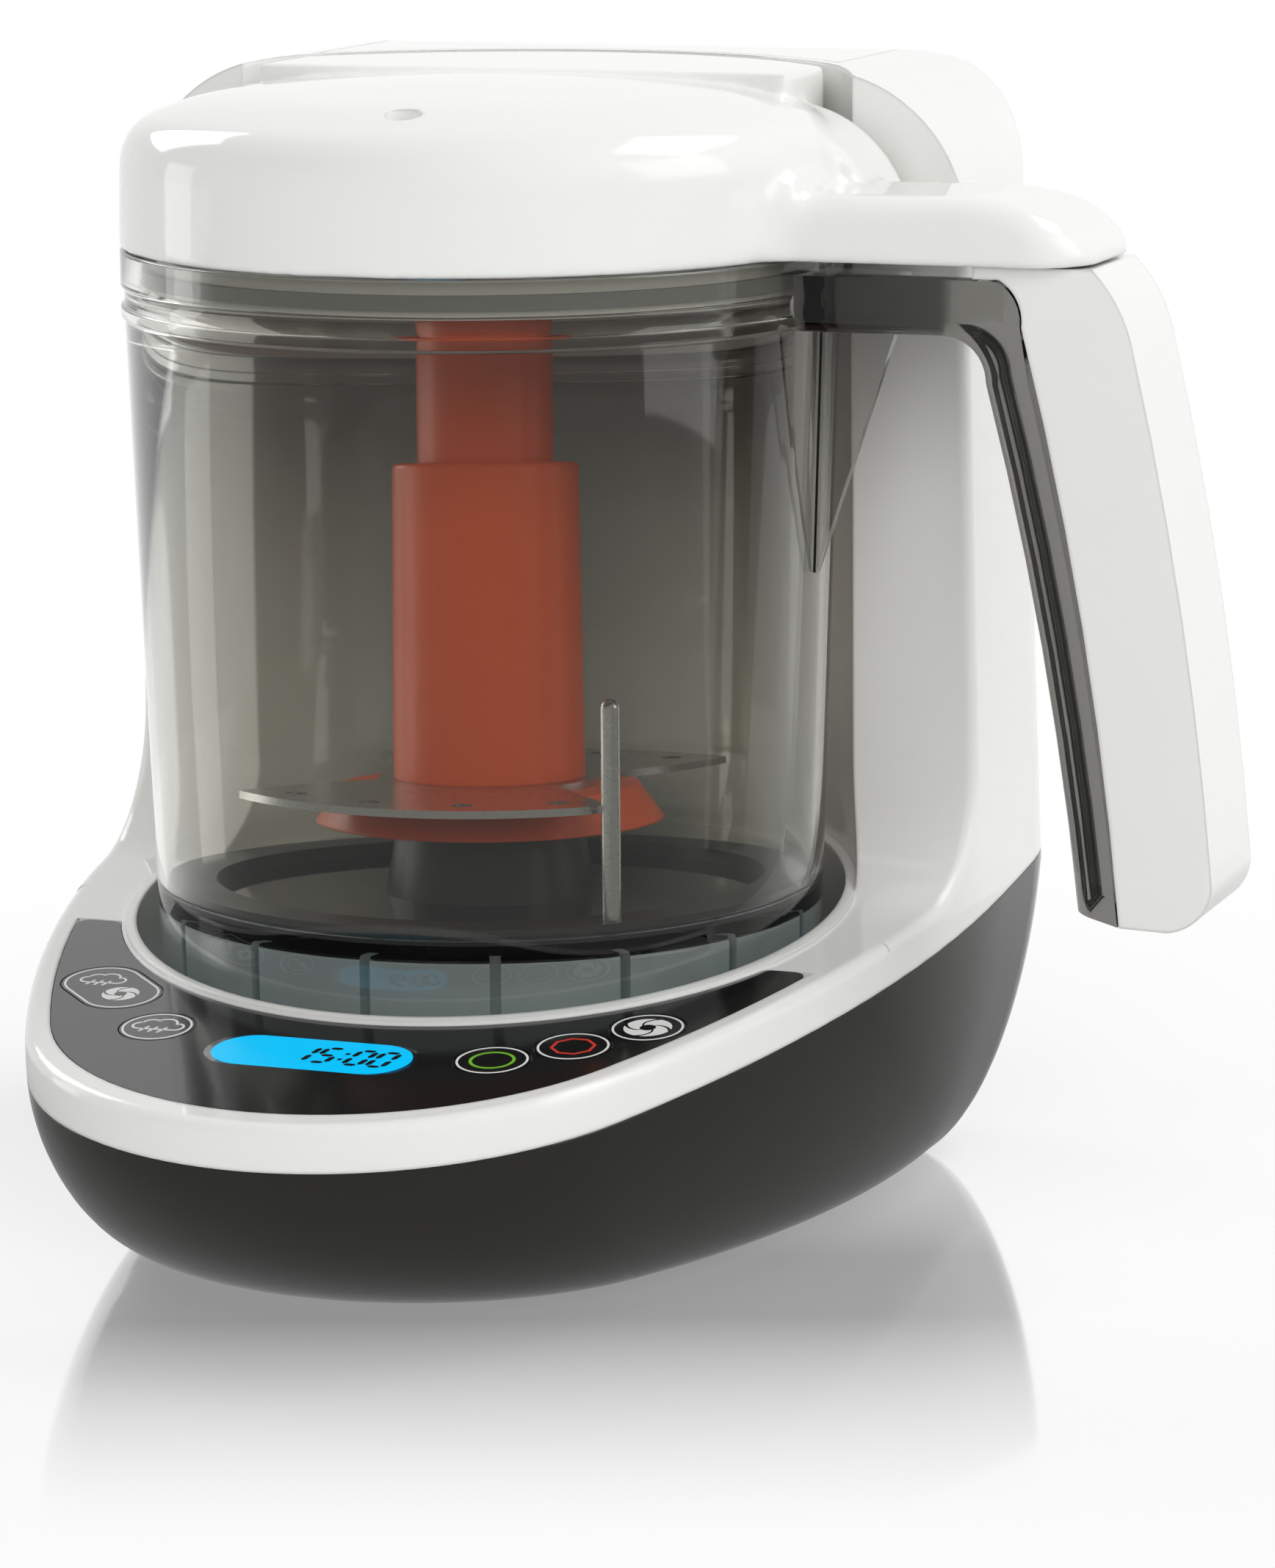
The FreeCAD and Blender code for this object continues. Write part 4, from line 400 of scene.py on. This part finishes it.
foot, seat, wall, hole = (bowlSet[key] for key in ("foot", "seat", "wall", "hole"))
floorTop, floorLow = bowlSet["floor"], bowlSet["floor"] - bowlSet["floorThick"]
mouth = bowlSet["top"] - wall
footEdge, mouthEdge = bowlSet["footEdge"], bowlSet["mouthEdge"]
floorEdge, underEdge = bowlSet["floorEdge"], bowlSet["underEdge"]
outside = [(foot - wall + bowlSet["footThin"], seat), (foot - footEdge, seat),
           (foot, seat + footEdge, footEdge, 1), (wallAt(bowlSet["wallTop"]), bowlSet["wallTop"])]
inside = [(mouth + mouthEdge, bowlSet["rim"]), (mouth, bowlSet["rim"] - mouthEdge, mouthEdge, 1),
          (mouth, bowlSet["collarLow"]), (wallAt(floorTop + floorEdge) - wall, floorTop + floorEdge),
          (wallAt(floorTop) - wall - floorEdge, floorTop, floorEdge, -1), (hole, floorTop)]
under = [(hole, floorLow), (wallAt(floorLow) - wall - underEdge, floorLow),
         (wallAt(floorLow) - wall, floorLow - underEdge, underEdge, -1)]
bm = bmesh.new()
lathe(bm, trace(outside + bowlSet["collar"] + inside + under), True, bowlSet["segments"])
bowl = makePiece("bowl", bm, smokeBowl, bowlSet["smoothAngle"])
bowl.data.materials.append(smokeFloor)
bowl.data.materials.append(paleSkirtPaintedLight)
floorIndex, skirtIndex = 1, 2  # places in the bowl's list of materials
# Faces below the floor take the skirt's pale colour, which is painted light, and the floor's level faces take the
# floor's smoke
for face in bowl.data.polygons:
    height = face.center.z / mm
    if height < floorLow - bowlSet["paleSkirtDrop"]:
        face.material_index = skirtIndex
    elif height < floorTop + bowlSet["floorMargin"] and abs(face.normal.z) > bowlSet["levelFace"]:
        face.material_index = floorIndex
# Ribs under the floor, in the skirt's pale colour of painted light
bm = bmesh.new()
for k in range(bowlSet["ribs"]):
    turn = Matrix.Rotation(math.tau * k / bowlSet["ribs"], 2)
    inner, outer = foot - wall - bowlSet["ribDeep"], foot - wall / 2
    half = bowlSet["ribThick"] / 2
    corners = [turn @ Vector(c) for c in ((inner, -half), (outer, -half), (outer, half), (inner, half))]
    prism(bm, corners, seat + bowlSet["ribLift"], floorLow + bowlSet["ribSink"], place)
combine(bowl, makePiece("ribs", bm, paleSkirtPaintedLight), "UNION")

# Arm, grip core and the web under the arm, in one moulding with the bowl. The lines are the handle's
# inner and outer side, seen from the front.
armSet = {"bottom": 172.5, "top": 183.1, "rootSink": 0.4, "half": 14.0, "edge": 3.4, "bend": 8.0,
          "bendStart": 94.0, "innerFoot": (120.0, 68.4, 660.0, -1), "outerStart": 97.0,
          "outerBend": [(105.0, 183.1), (109.2, 174.7, 8.5, -1), (110.9, 164.5)],
          "outerFoot": (128.2, 66.1, 720.0, -1), "steps": (6, 16, 24)}
webSet = {"wide": 15.0, "tall": 46.0, "thick": 2.4, "sink": 1.2, "nose": 0.6, "rise": 1.0}


def sideLine(*runs):
    # One line from a run along the arm, one round the bend and one down the grip
    line = []
    for corners, count in zip(runs, armSet["steps"]):
        line += spread(trace(corners, False), count)[1 if line else 0:]
    return line


root, bottom, bend = mouth + armSet["rootSink"], armSet["bottom"], armSet["bend"]
innerBend = (armSet["bendStart"], bottom)
innerGrip = (armSet["bendStart"] + bend, bottom - bend, bend, -1)
innerLine = sideLine([(root, bottom), innerBend], [innerBend, innerGrip], [innerGrip, armSet["innerFoot"]])
outerStart = (armSet["outerStart"], armSet["top"])
outerLine = sideLine([(root, armSet["top"]), outerStart], [outerStart] + armSet["outerBend"],
                     [armSet["outerBend"][-1], armSet["outerFoot"]])
bm = bmesh.new()
gripLoft(bm, innerLine, outerLine, armSet["half"], armSet["edge"])
core = makePiece("core", bm, smokeCore)
webLow, webHigh, half = bottom - webSet["tall"], bottom + webSet["rise"], webSet["thick"] / 2
webSide = [(wallAt(webLow) - webSet["sink"], webLow), (wallAt(webLow) + webSet["nose"], webLow),
           (bowlSet["top"] + webSet["wide"], webHigh), (mouth + webSet["sink"], webHigh)]
bm = bmesh.new()
prism(bm, webSide, -half, half, onSide)
combine(core, makePiece("web", bm, smokeWeb), "UNION")
combine(bowl, core, "UNION")
dress(bowl, "bowl_unit", "smoke_clear", "bowl")
print("bowl:", len(bowl.data.polygons), "faces")

# Grip cover: white outer half of the handle, with its tongue under the lid's tab
coverSet = {"half": 14.0, "smoothAngle": 40,
            "side": [(100.3, 183.4), (105.25, 183.4), (109.5, 174.9, 8.5, -1), (128.5, 66.0, 660.0, -1),
                     (137.3, 65.7), (145.8, 74.5, 9.35, 1), (130.0, 172.5, 660.0, 1),
                     (122.6, 185.7, 28.0, 1), (100.3, 185.7)]}
bm = bmesh.new()
prism(bm, trace(coverSet["side"]), -coverSet["half"], coverSet["half"], onSide)
cover = makePiece("grip_cover", bm, whiteAbs, coverSet["smoothAngle"])
dress(cover, "bowl_unit", "white_shell", "handle_cover")
print("grip cover:", len(cover.data.polygons), "faces")

# Lid: dome, rear ears, flat strip at the back and the tab over the handle, flowing into each other.
# The vent's hole and the room in the tab are measured up from the lid's plane.
lidSet = {"plane": 186.0, "radius": 68.0, "below": 2.0, "grid": 0.8, "smoothing": 14, "smoothShare": 0.5,
          "dome": [(0.0, 216.6), (41.0, 215.2, 601.0, -1), (61.0, 211.0, 69.0, -1), (67.6, 201.5, 10.2, -1)],
          "hollowFoot": 65.6,
          "hollow": [(65.2, 201.2), (59.6, 208.9, 7.8, 1), (40.3, 212.8, 66.6, 1), (0.0, 214.2)],
          "earReach": 76.0, "earRound": 25.5, "earsFrom": 5.0, "earsTo": 28.6,
          "strip": [(-54.0, 19.0), (54.0, 19.0), (54.0, 40.6), (-54.0, 40.6, 67.6, 1)],
          "stripLow": 203.0, "stripTop": 216.9,
          "vent": (5.6, -50.6), "ventHole": 3.35, "ventPoints": 40, "ventLow": 10.0, "ventHigh": 40.0}
tabSet = {"reach": 122.6, "half": 19.7, "tall": 12.0, "noseRun": 24.0, "noseCorner": 12.0, "flare": 7.0,
          "flareRun": 6.5, "topFlare": 4.0, "edge": 6.0, "edgeShare": 0.9, "start": 60.0,
          "rootStops": (63.6, 0.6, 20), "midStops": (76.0, 2.8, 8), "noseAngles": range(3, 88, 3),
          "room": [(64.0, -16.1), (90.2, -16.1), (98.6, -7.7, 8.4, 1), (98.6, 7.7), (90.2, 16.1, 8.4, 1),
                   (64.0, 16.1)], "roomTall": 8.4}
plane, lidRadius, below = lidSet["plane"], lidSet["radius"], lidSet["plane"] - lidSet["below"]
reach, earRound = lidSet["earReach"], lidSet["earRound"]
bm = bmesh.new()
lathe(bm, trace(lidSet["dome"] + [(lidRadius, plane), (0.0, plane)], False), False)
prism(bm, trace([(reach, plane), (reach - earRound, plane + earRound, earRound, 1),
                 (earRound - reach, plane + earRound), (-reach, plane, earRound, 1)]),
      lidSet["earsFrom"], lidSet["earsTo"], onSide)
prism(bm, trace(lidSet["strip"]), lidSet["stripLow"], lidSet["stripTop"], place)

# The tab's sections stand close together at its root, where it flares, and at the tip of its nose
flare, topFlare = tabSet["flare"], tabSet["topFlare"]
noseRun, noseCorner = tabSet["noseRun"], tabSet["noseCorner"]
flareX = math.sqrt((lidRadius + flare) ** 2 - (tabSet["half"] + flare) ** 2)
noseX, cornerX = tabSet["reach"] - noseRun, tabSet["reach"] - noseCorner
stops = [tabSet["start"]]
for start, step, count in (tabSet["rootStops"], tabSet["midStops"]):
    stops += [start + k * step for k in range(count)]
stops += [noseX + noseRun * math.sin(math.radians(a)) for a in tabSet["noseAngles"]]
sections = []
for x in stops:
    half, tall = tabSet["half"], tabSet["tall"]
    if x < flareX:
        half += flare - math.sqrt(flare ** 2 - min(flareX - x, tabSet["flareRun"]) ** 2)
    if x < lidRadius + topFlare:
        tall += topFlare - math.sqrt(topFlare ** 2 - min(lidRadius + topFlare - x, topFlare) ** 2)
    if x > cornerX:
        half += math.sqrt(max(noseCorner ** 2 - (x - cornerX) ** 2, 0)) - noseCorner
    if x > noseX:
        tall *= math.sqrt(1 - ((x - noseX) / noseRun) ** 2)
    edge = min(tabSet["edge"], tall * tabSet["edgeShare"], half * tabSet["edgeShare"])
    section = [(-half, plane)]
    for k in range(edgeSteps + 1):
        angle = math.radians(180 - k * 90 / edgeSteps)
        section.append((-half + edge + edge * math.cos(angle), plane + tall - edge + edge * math.sin(angle)))
    section += [(-y, z) for y, z in reversed(section)]
    sections.append([bm.verts.new(place(x, y, z)) for y, z in section])
bridge(bm, sections)
lid = makePiece("lid", bm, whiteAbs)
blend = lid.modifiers.new("blend", "REMESH")
blend.mode = "VOXEL"
blend.voxel_size = lidSet["grid"] * mm
relax = lid.modifiers.new("relax", "SMOOTH")
relax.factor = lidSet["smoothShare"]
relax.iterations = lidSet["smoothing"]
bake(lid)
bm = bmesh.new()
lathe(bm, trace([(0.0, below), (lidSet["hollowFoot"], below)] + lidSet["hollow"], False), False)
combine(lid, makePiece("hollow", bm, whiteAbs), "DIFFERENCE")
bm = bmesh.new()
prism(bm, trace(tabSet["room"]), below, plane + tabSet["roomTall"], place)
prism(bm, circle(*lidSet["vent"], lidSet["ventHole"], lidSet["ventPoints"]), plane + lidSet["ventLow"],
      plane + lidSet["ventHigh"], place)
combine(lid, makePiece("rooms", bm, whiteAbs), "DIFFERENCE")
dress(lid, "lid_unit", "white_shell", "lid_shell")
print("lid:", len(lid.data.polygons), "faces")

# Vent valve: a soft disc that fills the bush in the lid, with its upper edge rounded
ventSet = {"radius": 2.3, "tall": 2.0, "sunk": 0.15, "edge": 0.4, "edgeSteps": 3}
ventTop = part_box("vent_bush")[1].z / mm - ventSet["sunk"]
bm = bmesh.new()
disc = circle(*lidSet["vent"], ventSet["radius"], lidSet["ventPoints"])
caps = prism(bm, disc, ventTop - ventSet["tall"], ventTop, place)
bmesh.ops.bevel(bm, geom=list(caps[-1].edges), offset=ventSet["edge"] * mm, segments=ventSet["edgeSteps"],
                profile=0.5, affect="EDGES", clamp_overlap=True)
dress(makePiece("vent_valve", bm, milkyPp), "lid_unit", "soft_seal")

# Hub: a soft-edged collar turned round the column
hubSet = {"radius": 17.5, "flare": 0.6, "low": 88.5, "top": 154.0, "edge": 1.2, "bore": 12.9,
          "boreEdge": 0.5}
radius, low, top = hubSet["radius"], hubSet["low"], hubSet["top"]
edge, bore, boreEdge = hubSet["edge"], hubSet["bore"], hubSet["boreEdge"]
bm = bmesh.new()
lathe(bm, trace([(bore, low), (radius + hubSet["flare"], low), (radius, top - edge),
                 (radius - edge, top, edge, 1), (bore + boreEdge, top),
                 (bore, top - boreEdge, boreEdge, 1)]), True)
dress(makePiece("hub", bm, terracottaPp), "blade_unit", "terracotta", "blade_hub")
print("vent valve and hub")

# Panel: signs printed on the keys, and the digits on the display, all in the plane of the deck
deckSet = {"tilt": 7.2, "start": 60.2}
inkSet = {"thick": 0.04, "ring": 0.42, "sign": 0.6, "fine": 0.46}
cloudSet = {"bumps": [(3.1, 0.0, 1.6, -90, 70), (0.9, 1.3, 2.0, 0, 150), (-1.6, 0.9, 1.7, 40, 190),
                      (-3.0, -0.5, 1.5, 100, 280)],
            "bumpPoints": 12, "streakStep": 1.7, "streakShift": 0.3, "streakTop": -0.6,
            "streak": (-0.9, -2.6)}
swirlSet = {"blades": 4, "slit": 15.0, "twist": 62.0, "middle": 0.34, "steps": (12, 8, 6)}
deckTilt = math.radians(deckSet["tilt"])
deckUp = Vector((0, -math.sin(deckTilt), math.cos(deckTilt)))
deckStart = place(0, 0, deckSet["start"])


def onDeck(x, y, lift):
    along = Vector((x * mm, y * mm * math.cos(deckTilt), y * mm * math.sin(deckTilt)))
    return deckStart + along + deckUp * lift * mm


def topOf(nodeName):
    # Height of a piece's face over the deck, in mm
    return max((vertex.co - deckStart).dot(deckUp) for vertex in frame["nodes"][nodeName].data.vertices) / mm


def steamSign(bm, x, y, scale, level):
    # A cloud's outline, bump by bump, and slanting streaks of steam
    high = level + inkSet["thick"]
    line = []
    for bx, by, radius, start, stop in cloudSet["bumps"]:
        line += circle(x + bx * scale, y + by * scale, radius * scale, cloudSet["bumpPoints"],
                       math.radians(start), math.radians(stop - start))
    stroke(bm, line, inkSet["fine"], True, level, high, onDeck)
    for k in (-1, 0, 1):
        head = Vector((x + (k * cloudSet["streakStep"] + cloudSet["streakShift"]) * scale,
                       y + cloudSet["streakTop"] * scale))
        tail = head + Vector([way * scale for way in cloudSet["streak"]])
        stroke(bm, [head, tail], inkSet["fine"], False, level, high, onDeck)


def swirlSign(bm, x, y, size, level):
    # Curved blades with fine slits between them, round an open middle
    blades, inner, twist = swirlSet["blades"], size * swirlSet["middle"], math.radians(swirlSet["twist"])
    rimSteps, sideSteps, middleSteps = swirlSet["steps"]
    for k in range(blades):
        first = math.tau * k / blades
        last = first + math.tau / blades - math.radians(swirlSet["slit"])
        outline = [(size, first + (last - first) * t / rimSteps) for t in range(rimSteps + 1)]
        outline += [(size + (inner - size) * t / sideSteps, last + twist * t / sideSteps)
                    for t in range(1, sideSteps + 1)]
        outline += [(inner, last + twist + (first - last) * t / middleSteps)
                    for t in range(1, middleSteps + 1)]
        outline += [(inner + (size - inner) * t / sideSteps, first + twist * (1 - t / sideSteps))
                    for t in range(1, sideSteps)]
        prism(bm, [(x + r * math.cos(a), y + r * math.sin(a)) for r, a in outline], level,
              level + inkSet["thick"], onDeck)


# Round keys: place on the deck, and for two of them a ring or an octagon in colour
keySet = {"ring": 6.3, "ringPoints": 72, "sign": 3.9, "signTurn": math.pi / 8, "cloud": 1.05,
          "cloudLift": 0.5, "swirl": 4.4,
          "spots": {"start_key": (33.0, -83.0), "stop_key": (44.7, -73.3), "blend_key": (54.5, -61.4),
                    "steam_key": (-33.7, -80.0)},
          "signs": {"start_key": (64, greenInk), "stop_key": (8, redInk)}}
for key, (x, y) in keySet["spots"].items():
    level = topOf(key)
    high = level + inkSet["thick"]
    bm = bmesh.new()
    stroke(bm, circle(x, y, keySet["ring"], keySet["ringPoints"]), inkSet["ring"], True, level, high, onDeck)
    if key == "steam_key":
        steamSign(bm, x, y + keySet["cloudLift"], keySet["cloud"], level)
    if key == "blend_key":
        swirlSign(bm, x, y, keySet["swirl"], level)
    dress(makePiece(key + "_print", bm, whiteInk), key + "_unit", "panel_gloss")
    if key in keySet["signs"]:
        sides, ink = keySet["signs"][key]
        outline = circle(x, y, keySet["sign"], sides, keySet["signTurn"])
        bm = bmesh.new()
        stroke(bm, outline, inkSet["sign"], True, level, high, onDeck)
        dress(makePiece(key + "_sign", bm, ink), key + "_unit", "panel_gloss")

# Wide key for the whole cycle: both signs in one long ring
cycleSet = {"middle": (-51.0, -62.5), "turn": -42.0, "reach": 4.5, "ring": 6.9, "endPoints": 24,
            "cloudAt": -4.6, "cloud": 0.95, "cloudLift": 0.6, "swirlAt": 4.2, "swirl": 3.5}
level = topOf("cycle_key")
heading, middle = math.radians(cycleSet["turn"]), Vector(cycleSet["middle"])
along = Vector((math.cos(heading), math.sin(heading)))
rim = []
for way in (1, -1):
    spot = middle + along * (way * cycleSet["reach"])
    rim += circle(spot.x, spot.y, cycleSet["ring"], cycleSet["endPoints"], heading - way * math.pi / 2,
                  math.pi)
bm = bmesh.new()
stroke(bm, rim, inkSet["ring"], True, level, level + inkSet["thick"], onDeck)
cloudSpot, swirlSpot = middle + along * cycleSet["cloudAt"], middle + along * cycleSet["swirlAt"]
steamSign(bm, cloudSpot.x, cloudSpot.y + cycleSet["cloudLift"], cycleSet["cloud"], level)
swirlSign(bm, swirlSpot.x, swirlSpot.y, cycleSet["swirl"], level)
dress(makePiece("cycle_key_print", bm, whiteInk), "cycle_key_unit", "panel_gloss")

# Display: a dark border under a thin lens, and on the lens the lit face with its digits
windowSet = {"y": -87.3, "half": 13.0, "round": 7.5, "faceHalf": 11.7, "faceRound": 7.3, "borderLow": -0.8,
             "borderHigh": -0.4, "lensLow": -0.2}
screenSet = {"text": "15:00", "left": -3.6, "low": -90.7, "tall": 7.0, "wide": 3.0, "step": 4.5, "bar": 1.05,
             "barGap": 0.3, "slant": 0.16, "dotAt": (0.3, 0.7), "dotShift": 0.2, "dotStep": 1.9,
             "dot": [(-0.4, -0.4), (0.4, -0.4), (0.5, 0.4), (-0.3, 0.4)]}
bars = {"a": (0, 2, 1, 2), "b": (1, 1, 1, 2), "c": (1, 0, 1, 1), "d": (0, 0, 1, 0), "e": (0, 0, 0, 1),
        "f": (0, 1, 0, 2), "g": (0, 1, 1, 1)}
lit = {"0": "abcdef", "1": "bc", "5": "acdfg"}


def slotPiece(name, half, radius, low, high, material):
    # A flat piece with round ends, at the display's place on the deck
    near, far = windowSet["y"] - radius, windowSet["y"] + radius
    outline = trace([(half, near), (half, far, radius, 1), (-half, far), (-half, near, radius, 1)])
    bm = bmesh.new()
    prism(bm, outline, low, high, onDeck)
    return makePiece(name, bm, material)


windowTop = topOf("display_window")
level = windowTop + inkSet["thick"]
border = slotPiece("display_border", windowSet["half"], windowSet["round"],
                   windowTop + windowSet["borderLow"], windowTop + windowSet["borderHigh"], panelFilm)
dress(border, "base", "screen")
litFace = slotPiece("display_face", windowSet["faceHalf"], windowSet["faceRound"], windowTop, level,
                    lcdGlass)
dress(litFace, "base", "screen")
lens = slotPiece("display_lens", windowSet["half"], windowSet["round"], windowTop + windowSet["lensLow"],
                 windowTop, clearPc)
dress(lens, "base", "clear_window", "display_window")
bm = bmesh.new()
cursor, low, slant = screenSet["left"], screenSet["low"], screenSet["slant"]
for sign in screenSet["text"]:
    if sign == ":":
        for share in screenSet["dotAt"]:
            y = low + screenSet["tall"] * share
            x = cursor + screenSet["dotShift"] + screenSet["tall"] * share * slant
            dot = [(x + dx, y + dy) for dx, dy in screenSet["dot"]]
            prism(bm, dot, level, level + inkSet["thick"], onDeck)
        cursor += screenSet["dotStep"]
        continue
    for bar in lit[sign]:
        ax, ay, bx, by = bars[bar]
        ends = [Vector((cursor + px * screenSet["wide"], low + py * screenSet["tall"] / 2))
                for px, py in ((ax, ay), (bx, by))]
        along = (ends[1] - ends[0]).normalized()
        ends = [ends[0] + along * screenSet["barGap"], ends[1] - along * screenSet["barGap"]]
        side = Vector((-along.y, along.x)) * screenSet["bar"] / 2
        tip = along * screenSet["bar"] / 2
        shape = [ends[0], ends[0] + tip - side, ends[1] - tip - side, ends[1], ends[1] - tip + side,
                 ends[0] + tip + side]
        shape = [Vector((p.x + (p.y - low) * slant, p.y)) for p in shape]
        prism(bm, shape, level, level + inkSet["thick"], onDeck)
    cursor += screenSet["step"]
dress(makePiece("display_digits", bm, digitBlack), "base", "screen")
print("panel signs and digits")

viewTurn = -20.5  # degrees that bring the camera's heading to the front
pureWhite = linear("#FFFFFF")


def rayKinds(tree):
    # Three switches: seen straight by the camera, in gloss or through clear plastic, and either of them
    paths = addNode(tree, "ShaderNodeLightPath")
    straight = paths.outputs["Is Camera Ray"]
    bounced = addNode(tree, "ShaderNodeMath", [(0, paths.outputs["Is Glossy Ray"]),
                                               (1, paths.outputs["Is Transmission Ray"])],
                      operation="MAXIMUM")
    seen = addNode(tree, "ShaderNodeMath", [(0, straight), (1, bounced.outputs[0])], operation="MAXIMUM")
    return straight, bounced.outputs[0], seen.outputs[0]


def awayFromView(tree, source):
    # How far back a point is, along the camera's heading
    turned = addNode(tree, "ShaderNodeMapping", [("Vector", source)],
                     Rotation=(0, 0, math.radians(viewTurn)))
    split = addNode(tree, "ShaderNodeSeparateXYZ", [("Vector", turned.outputs["Vector"])])
    return split.outputs["Y"]


# Floor: white acrylic sheet, pale and glossy, with a reflection that fades towards the viewer and
# behind the object. Distances in metres.
floorSet = {"halfSize": 6.0, "colour": "#F9F9F9", "reflection": 0.6, "fadeStart": -0.06, "fadeEnd": -0.185,
            "fadeCurve": 1.6, "backStart": -0.02, "backEnd": 0.12, "roughness": 0.06, "whiteNear": 0.6,
            "near": 0.16, "far": 0.36, "room": 0.3, "roomStart": 0.3, "roomEnd": 0.05}
bpy.ops.mesh.primitive_plane_add(size=floorSet["halfSize"] * 2)
floor = bpy.context.object
floor.name = "floor"
floorMaterial = bpy.data.materials.new("whiteAcrylicSheet")
floorMaterial.use_nodes = True
tree = floorMaterial.node_tree
tree.nodes.remove(tree.nodes["Principled BSDF"])
straight, bounced, seen = rayKinds(tree)
coords = addNode(tree, "ShaderNodeTexCoord")
distance = addNode(tree, "ShaderNodeVectorMath", [(0, coords.outputs["Object"])], operation="LENGTH")
whiter = addNode(tree, "ShaderNodeMapRange", [("Value", distance.outputs["Value"])],
                 From_Min=floorSet["near"], From_Max=floorSet["far"], To_Min=floorSet["whiteNear"],
                 To_Max=1.0)
whiteShare = addNode(tree, "ShaderNodeMath", [(0, whiter.outputs["Result"]), (1, bounced)],
                     operation="MAXIMUM")
glow = addNode(tree, "ShaderNodeMath", [(0, seen), (1, whiteShare.outputs[0])], operation="MULTIPLY")
back = awayFromView(tree, coords.outputs["Object"])
dimmer = addNode(tree, "ShaderNodeMapRange", [("Value", back)], From_Min=floorSet["roomEnd"],
                 From_Max=floorSet["roomStart"], To_Min=floorSet["room"], To_Max=1.0)
bright = addNode(tree, "ShaderNodeMath", [(0, dimmer.outputs["Result"]), (1, straight)],
                 operation="MAXIMUM")
matt = addNode(tree, "ShaderNodeBsdfDiffuse", Color=linear(floorSet["colour"]))
white = addNode(tree, "ShaderNodeEmission", [("Strength", bright.outputs[0])], Color=pureWhite)
ground = addNode(tree, "ShaderNodeMixShader", [("Fac", glow.outputs[0]), (1, matt.outputs[0]),
                                               (2, white.outputs[0])])
mirror = addNode(tree, "ShaderNodeBsdfGlossy", Color=pureWhite, Roughness=floorSet["roughness"])
fade = addNode(tree, "ShaderNodeMapRange", [("Value", back)], From_Min=floorSet["fadeStart"],
               From_Max=floorSet["fadeEnd"], To_Min=1.0, To_Max=0.0)
eased = addNode(tree, "ShaderNodeMath", [(0, fade.outputs["Result"])], operation="POWER")
eased.inputs[1].default_value = floorSet["fadeCurve"]
ahead = addNode(tree, "ShaderNodeMapRange", [("Value", back)], From_Min=floorSet["backStart"],
                From_Max=floorSet["backEnd"], To_Min=floorSet["reflection"], To_Max=0.0)
share = addNode(tree, "ShaderNodeMath", [(0, eased.outputs[0]), (1, ahead.outputs["Result"])],
                operation="MULTIPLY")
shown = addNode(tree, "ShaderNodeMath", [(0, share.outputs[0]), (1, straight)], operation="MULTIPLY")
sheen = addNode(tree, "ShaderNodeMixShader", [("Fac", shown.outputs[0]), (1, ground.outputs[0]),
                                              (2, mirror.outputs[0])])
tree.links.new(tree.nodes["Material Output"].inputs["Surface"], sheen.outputs[0])
floor.data.materials.append(floorMaterial)

# A white backdrop behind the object, a dimmer room in front of it, and a softer level as a light
worldSet = {"light": 0.44, "room": 0.24, "roomEnd": -0.35, "backdropStart": 0.75}
world = bpy.data.worlds.new("studio")
bpy.context.scene.world = world
world.use_nodes = True
tree = world.node_tree
straight, _, seen = rayKinds(tree)
coords = addNode(tree, "ShaderNodeTexCoord")
back = awayFromView(tree, coords.outputs["Generated"])
room = addNode(tree, "ShaderNodeMapRange", [("Value", back)], From_Min=worldSet["roomEnd"],
               From_Max=worldSet["backdropStart"], To_Min=worldSet["room"], To_Max=1.0)
shown = addNode(tree, "ShaderNodeMath", [(0, room.outputs["Result"]), (1, straight)], operation="MAXIMUM")
strength = addNode(tree, "ShaderNodeMix", [("Factor", seen), ("B", shown.outputs[0])], data_type="FLOAT",
                   A=worldSet["light"])
background = tree.nodes["Background"]
background.inputs["Color"].default_value = pureWhite
tree.links.new(background.inputs["Strength"], strength.outputs[0])

# Softboxes: place and size in metres, watts
softboxes = {
    "overRight": ((0.56, 0.42, 1.2), (0.8, 0.45), 5.4),
    "overLeft": ((-0.95, 0.5, 0.8), (0.5, 0.5), 3.0),
    "front": ((0.45, -1.35, 0.8), (0.9, 0.9), 8.2),
    "sideRight": ((1.1, 0.0, 0.7), (0.7, 0.7), 2.4),
    "stripLeft": ((-0.5, -0.05, 0.16), (0.12, 0.3), 0.16),
}
aim = Vector((-0.02, 0.0, 0.1))
for name, (spot, span, power) in softboxes.items():
    lamp = bpy.data.lights.new(name, "AREA")
    lamp.shape = "RECTANGLE"
    lamp.size, lamp.size_y = span
    lamp.energy = power
    holder = bpy.data.objects.new(name, lamp)
    bpy.context.scene.collection.objects.link(holder)
    holder.location = spot
    holder.rotation_euler = (aim - Vector(spot)).to_track_quat("-Z", "Y").to_euler()
    holder.visible_camera = False
    holder.visible_glossy = name != "front"
    holder.visible_transmission = name != "front"
    holder.visible_diffuse = name != "stripLeft"  # a line of light in the gloss alone

# Camera where the photograph was taken from: place in mm, angles in degrees
cameraSet = {"place": (383.42, -1007.9, 297.6), "heading": 20.532, "pitch": -11.089, "roll": -0.469,
             "lens": 134.72}
cameraData = bpy.data.cameras.new("camera")
cameraData.lens = cameraSet["lens"]
camera = bpy.data.objects.new("camera", cameraData)
bpy.context.scene.collection.objects.link(camera)
turn = Matrix.Rotation(math.radians(cameraSet["heading"]), 4, "Z")
turn = turn @ Matrix.Rotation(math.radians(90 + cameraSet["pitch"]), 4, "X")
turn = turn @ Matrix.Rotation(math.radians(cameraSet["roll"]), 4, "Z")
camera.matrix_world = Matrix.Translation(Vector(cameraSet["place"]) * mm) @ turn
bpy.context.scene.camera = camera
bpy.context.scene.view_settings.view_transform = "Standard"
print("stage, light and camera")
